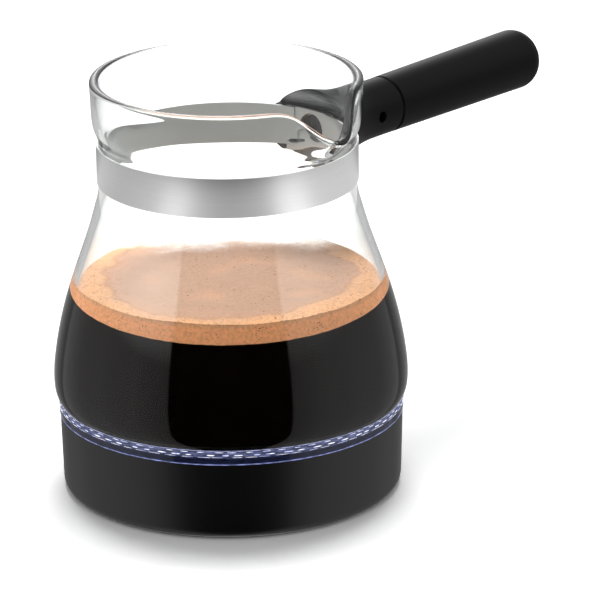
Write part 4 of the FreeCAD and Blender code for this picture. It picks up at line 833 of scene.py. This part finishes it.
brush_body = add_node(brushed_tree, "ShaderNodeBsdfPrincipled",
                      {"Metallic": 1.0, "Roughness": 0.3, "Anisotropic": 0.75},
                      {"Base Color": brush_tone.outputs[2], "Normal": brush_relief.outputs[0],
                       "Tangent": brush_round.outputs[0]})
add_node(brushed_tree, "ShaderNodeOutputMaterial", {}, {"Surface": brush_body.outputs[0]})
for node, name, slot_name in (("neck_band", "neck_band_strip", "band_steel"),
                              ("band_bracket", "band_bracket_plate", "bracket_steel")):
    steel = dressed_copy(node, name, brushed)
    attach(steel, "pot")
    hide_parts(node)

# Tie screw and lock screw: blackened steel machine screws. The tie screw runs from the
# bracket's dish into the grip, and the lock screw closes the small hole in the collar.
blackened = moulded("blackened_steel", "#232324", "#3A3A3C", 0.2,
                    {"Metallic": 1.0, "Roughness": 0.35}, 0.004)
for node, name in (("tie_screw", "handle_tie_screw"), ("lock_screw", "collar_lock_screw")):
    screw = dressed_copy(node, name, blackened)
    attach(screw, "pot")
    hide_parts(node)

# Handle: a collar that flares to a saddle against the neck, and a straight round grip with a
# domed end. Both are moulded of black phenolic, which stays cool, with a fine satin skin.
phenolic = moulded("satin_black_phenolic", "#0F0F0F", "#121212", 0.15,
                   {"Roughness": 0.36, "IOR": 1.5, "Specular IOR Level": 0.06}, 0.004)
for node, name in (("handle_collar", "handle_saddle_collar"), ("handle_grip", "handle_round_grip")):
    part = dressed_copy(node, name, phenolic)
    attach(part, "pot")
    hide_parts(node)

# Switch lever and bottom cover: both moulded plastic. The lever's paddle comes out of the base
# under the handle, and the cover closes the base from below round the power coupling.
lever_skin = moulded("textured_black_abs", "#121213", "#19191A", 0.25,
                     {"Roughness": 0.45, "IOR": 1.53}, 0.02)
lever = dressed_copy("switch_lever", "switch_lever_paddle", lever_skin)
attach(lever, "switch")
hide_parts("switch_lever")
cover = dressed_copy("bottom_cover", "bottom_cover_plate", lever_skin)
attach(cover, "pot")
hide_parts("bottom_cover")

# Inner pieces: the heater, lamps, control and coupling inside the base, and what holds them,
# with the insert in the grip. Each keeps its own shape, and gets the finish of its material.
for nodes, material in (
        (("jar_gasket", "seam_washer", "led_leads"), moulded(
            "black_silicone", "#0B0B0B", "#121212", 0.2, {"Roughness": 0.6, "IOR": 1.41}, 0.01)),
        (("heating_plate", "plate_studs"), moulded(
            "rolled_stainless_steel", "#B4B4B2", "#C8C8C6", 0.3,
            {"Metallic": 1.0, "Roughness": 0.32}, 0.006)),
        (("heat_spreader",), moulded("cast_aluminium", "#BDBFC0", "#D2D4D5", 0.5,
                                     {"Metallic": 1.0, "Roughness": 0.5}, 0.02)),
        (("cover_screws", "housing_screws", "control_screws", "lever_pin"), moulded(
            "bright_zinc_plating", "#A9ABAE", "#C4C6C8", 0.2,
            {"Metallic": 1.0, "Roughness": 0.3}, 0.004)),
        (("heating_element",), moulded("oxidised_steel_sheath", "#5A5248", "#75695C", 0.4,
                                       {"Metallic": 1.0, "Roughness": 0.55}, 0.01)),
        (("terminal_beads",), moulded("steatite_ceramic", "#E4DDCF", "#F0EADF", 0.3,
                                      {"Roughness": 0.35, "IOR": 1.6}, 0.01)),
        (("element_terminals", "heater_links", "bimetal_discs"), moulded(
            "nickel_plated_steel", "#A8A59C", "#BDBAB0", 0.2,
            {"Metallic": 1.0, "Roughness": 0.3}, 0.004)),
        (("centre_pin", "inner_ring_contact", "outer_ring_contact", "contact_blades",
          "grip_insert"), moulded("turned_brass", "#B08D48", "#C9A65A", 0.2,
                                  {"Metallic": 1.0, "Roughness": 0.28}, 0.004)),
        (("thermal_fuse",), moulded("fuse_case_enamel", "#8D8F92", "#A4A6A8", 0.3,
                                    {"Roughness": 0.4, "IOR": 1.5}, 0.01)),
        (("led_board",), moulded("glass_epoxy_laminate", "#E6E8E4", "#F2F3EF", 0.5,
                                 {"Roughness": 0.45, "IOR": 1.55}, 0.01)),
        (("led_resistors",), moulded("resistor_lacquer", "#B79A6A", "#CBB081", 0.3,
                                     {"Roughness": 0.45, "IOR": 1.5}, 0.01)),
        (("connector_shroud", "control_body"), moulded(
            "glass_filled_nylon", "#1B1B1C", "#262627", 0.3,
            {"Roughness": 0.5, "IOR": 1.53}, 0.02)),
        (("contact_plunger",), moulded("white_acetal", "#DEDCD4", "#ECEAE4", 0.3,
                                       {"Roughness": 0.35, "IOR": 1.48}, 0.006))):
    for node in nodes:
        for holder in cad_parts[node].material_slots:
            holder.material = material
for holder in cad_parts["led_chips"].material_slots:
    holder.material = dash_light
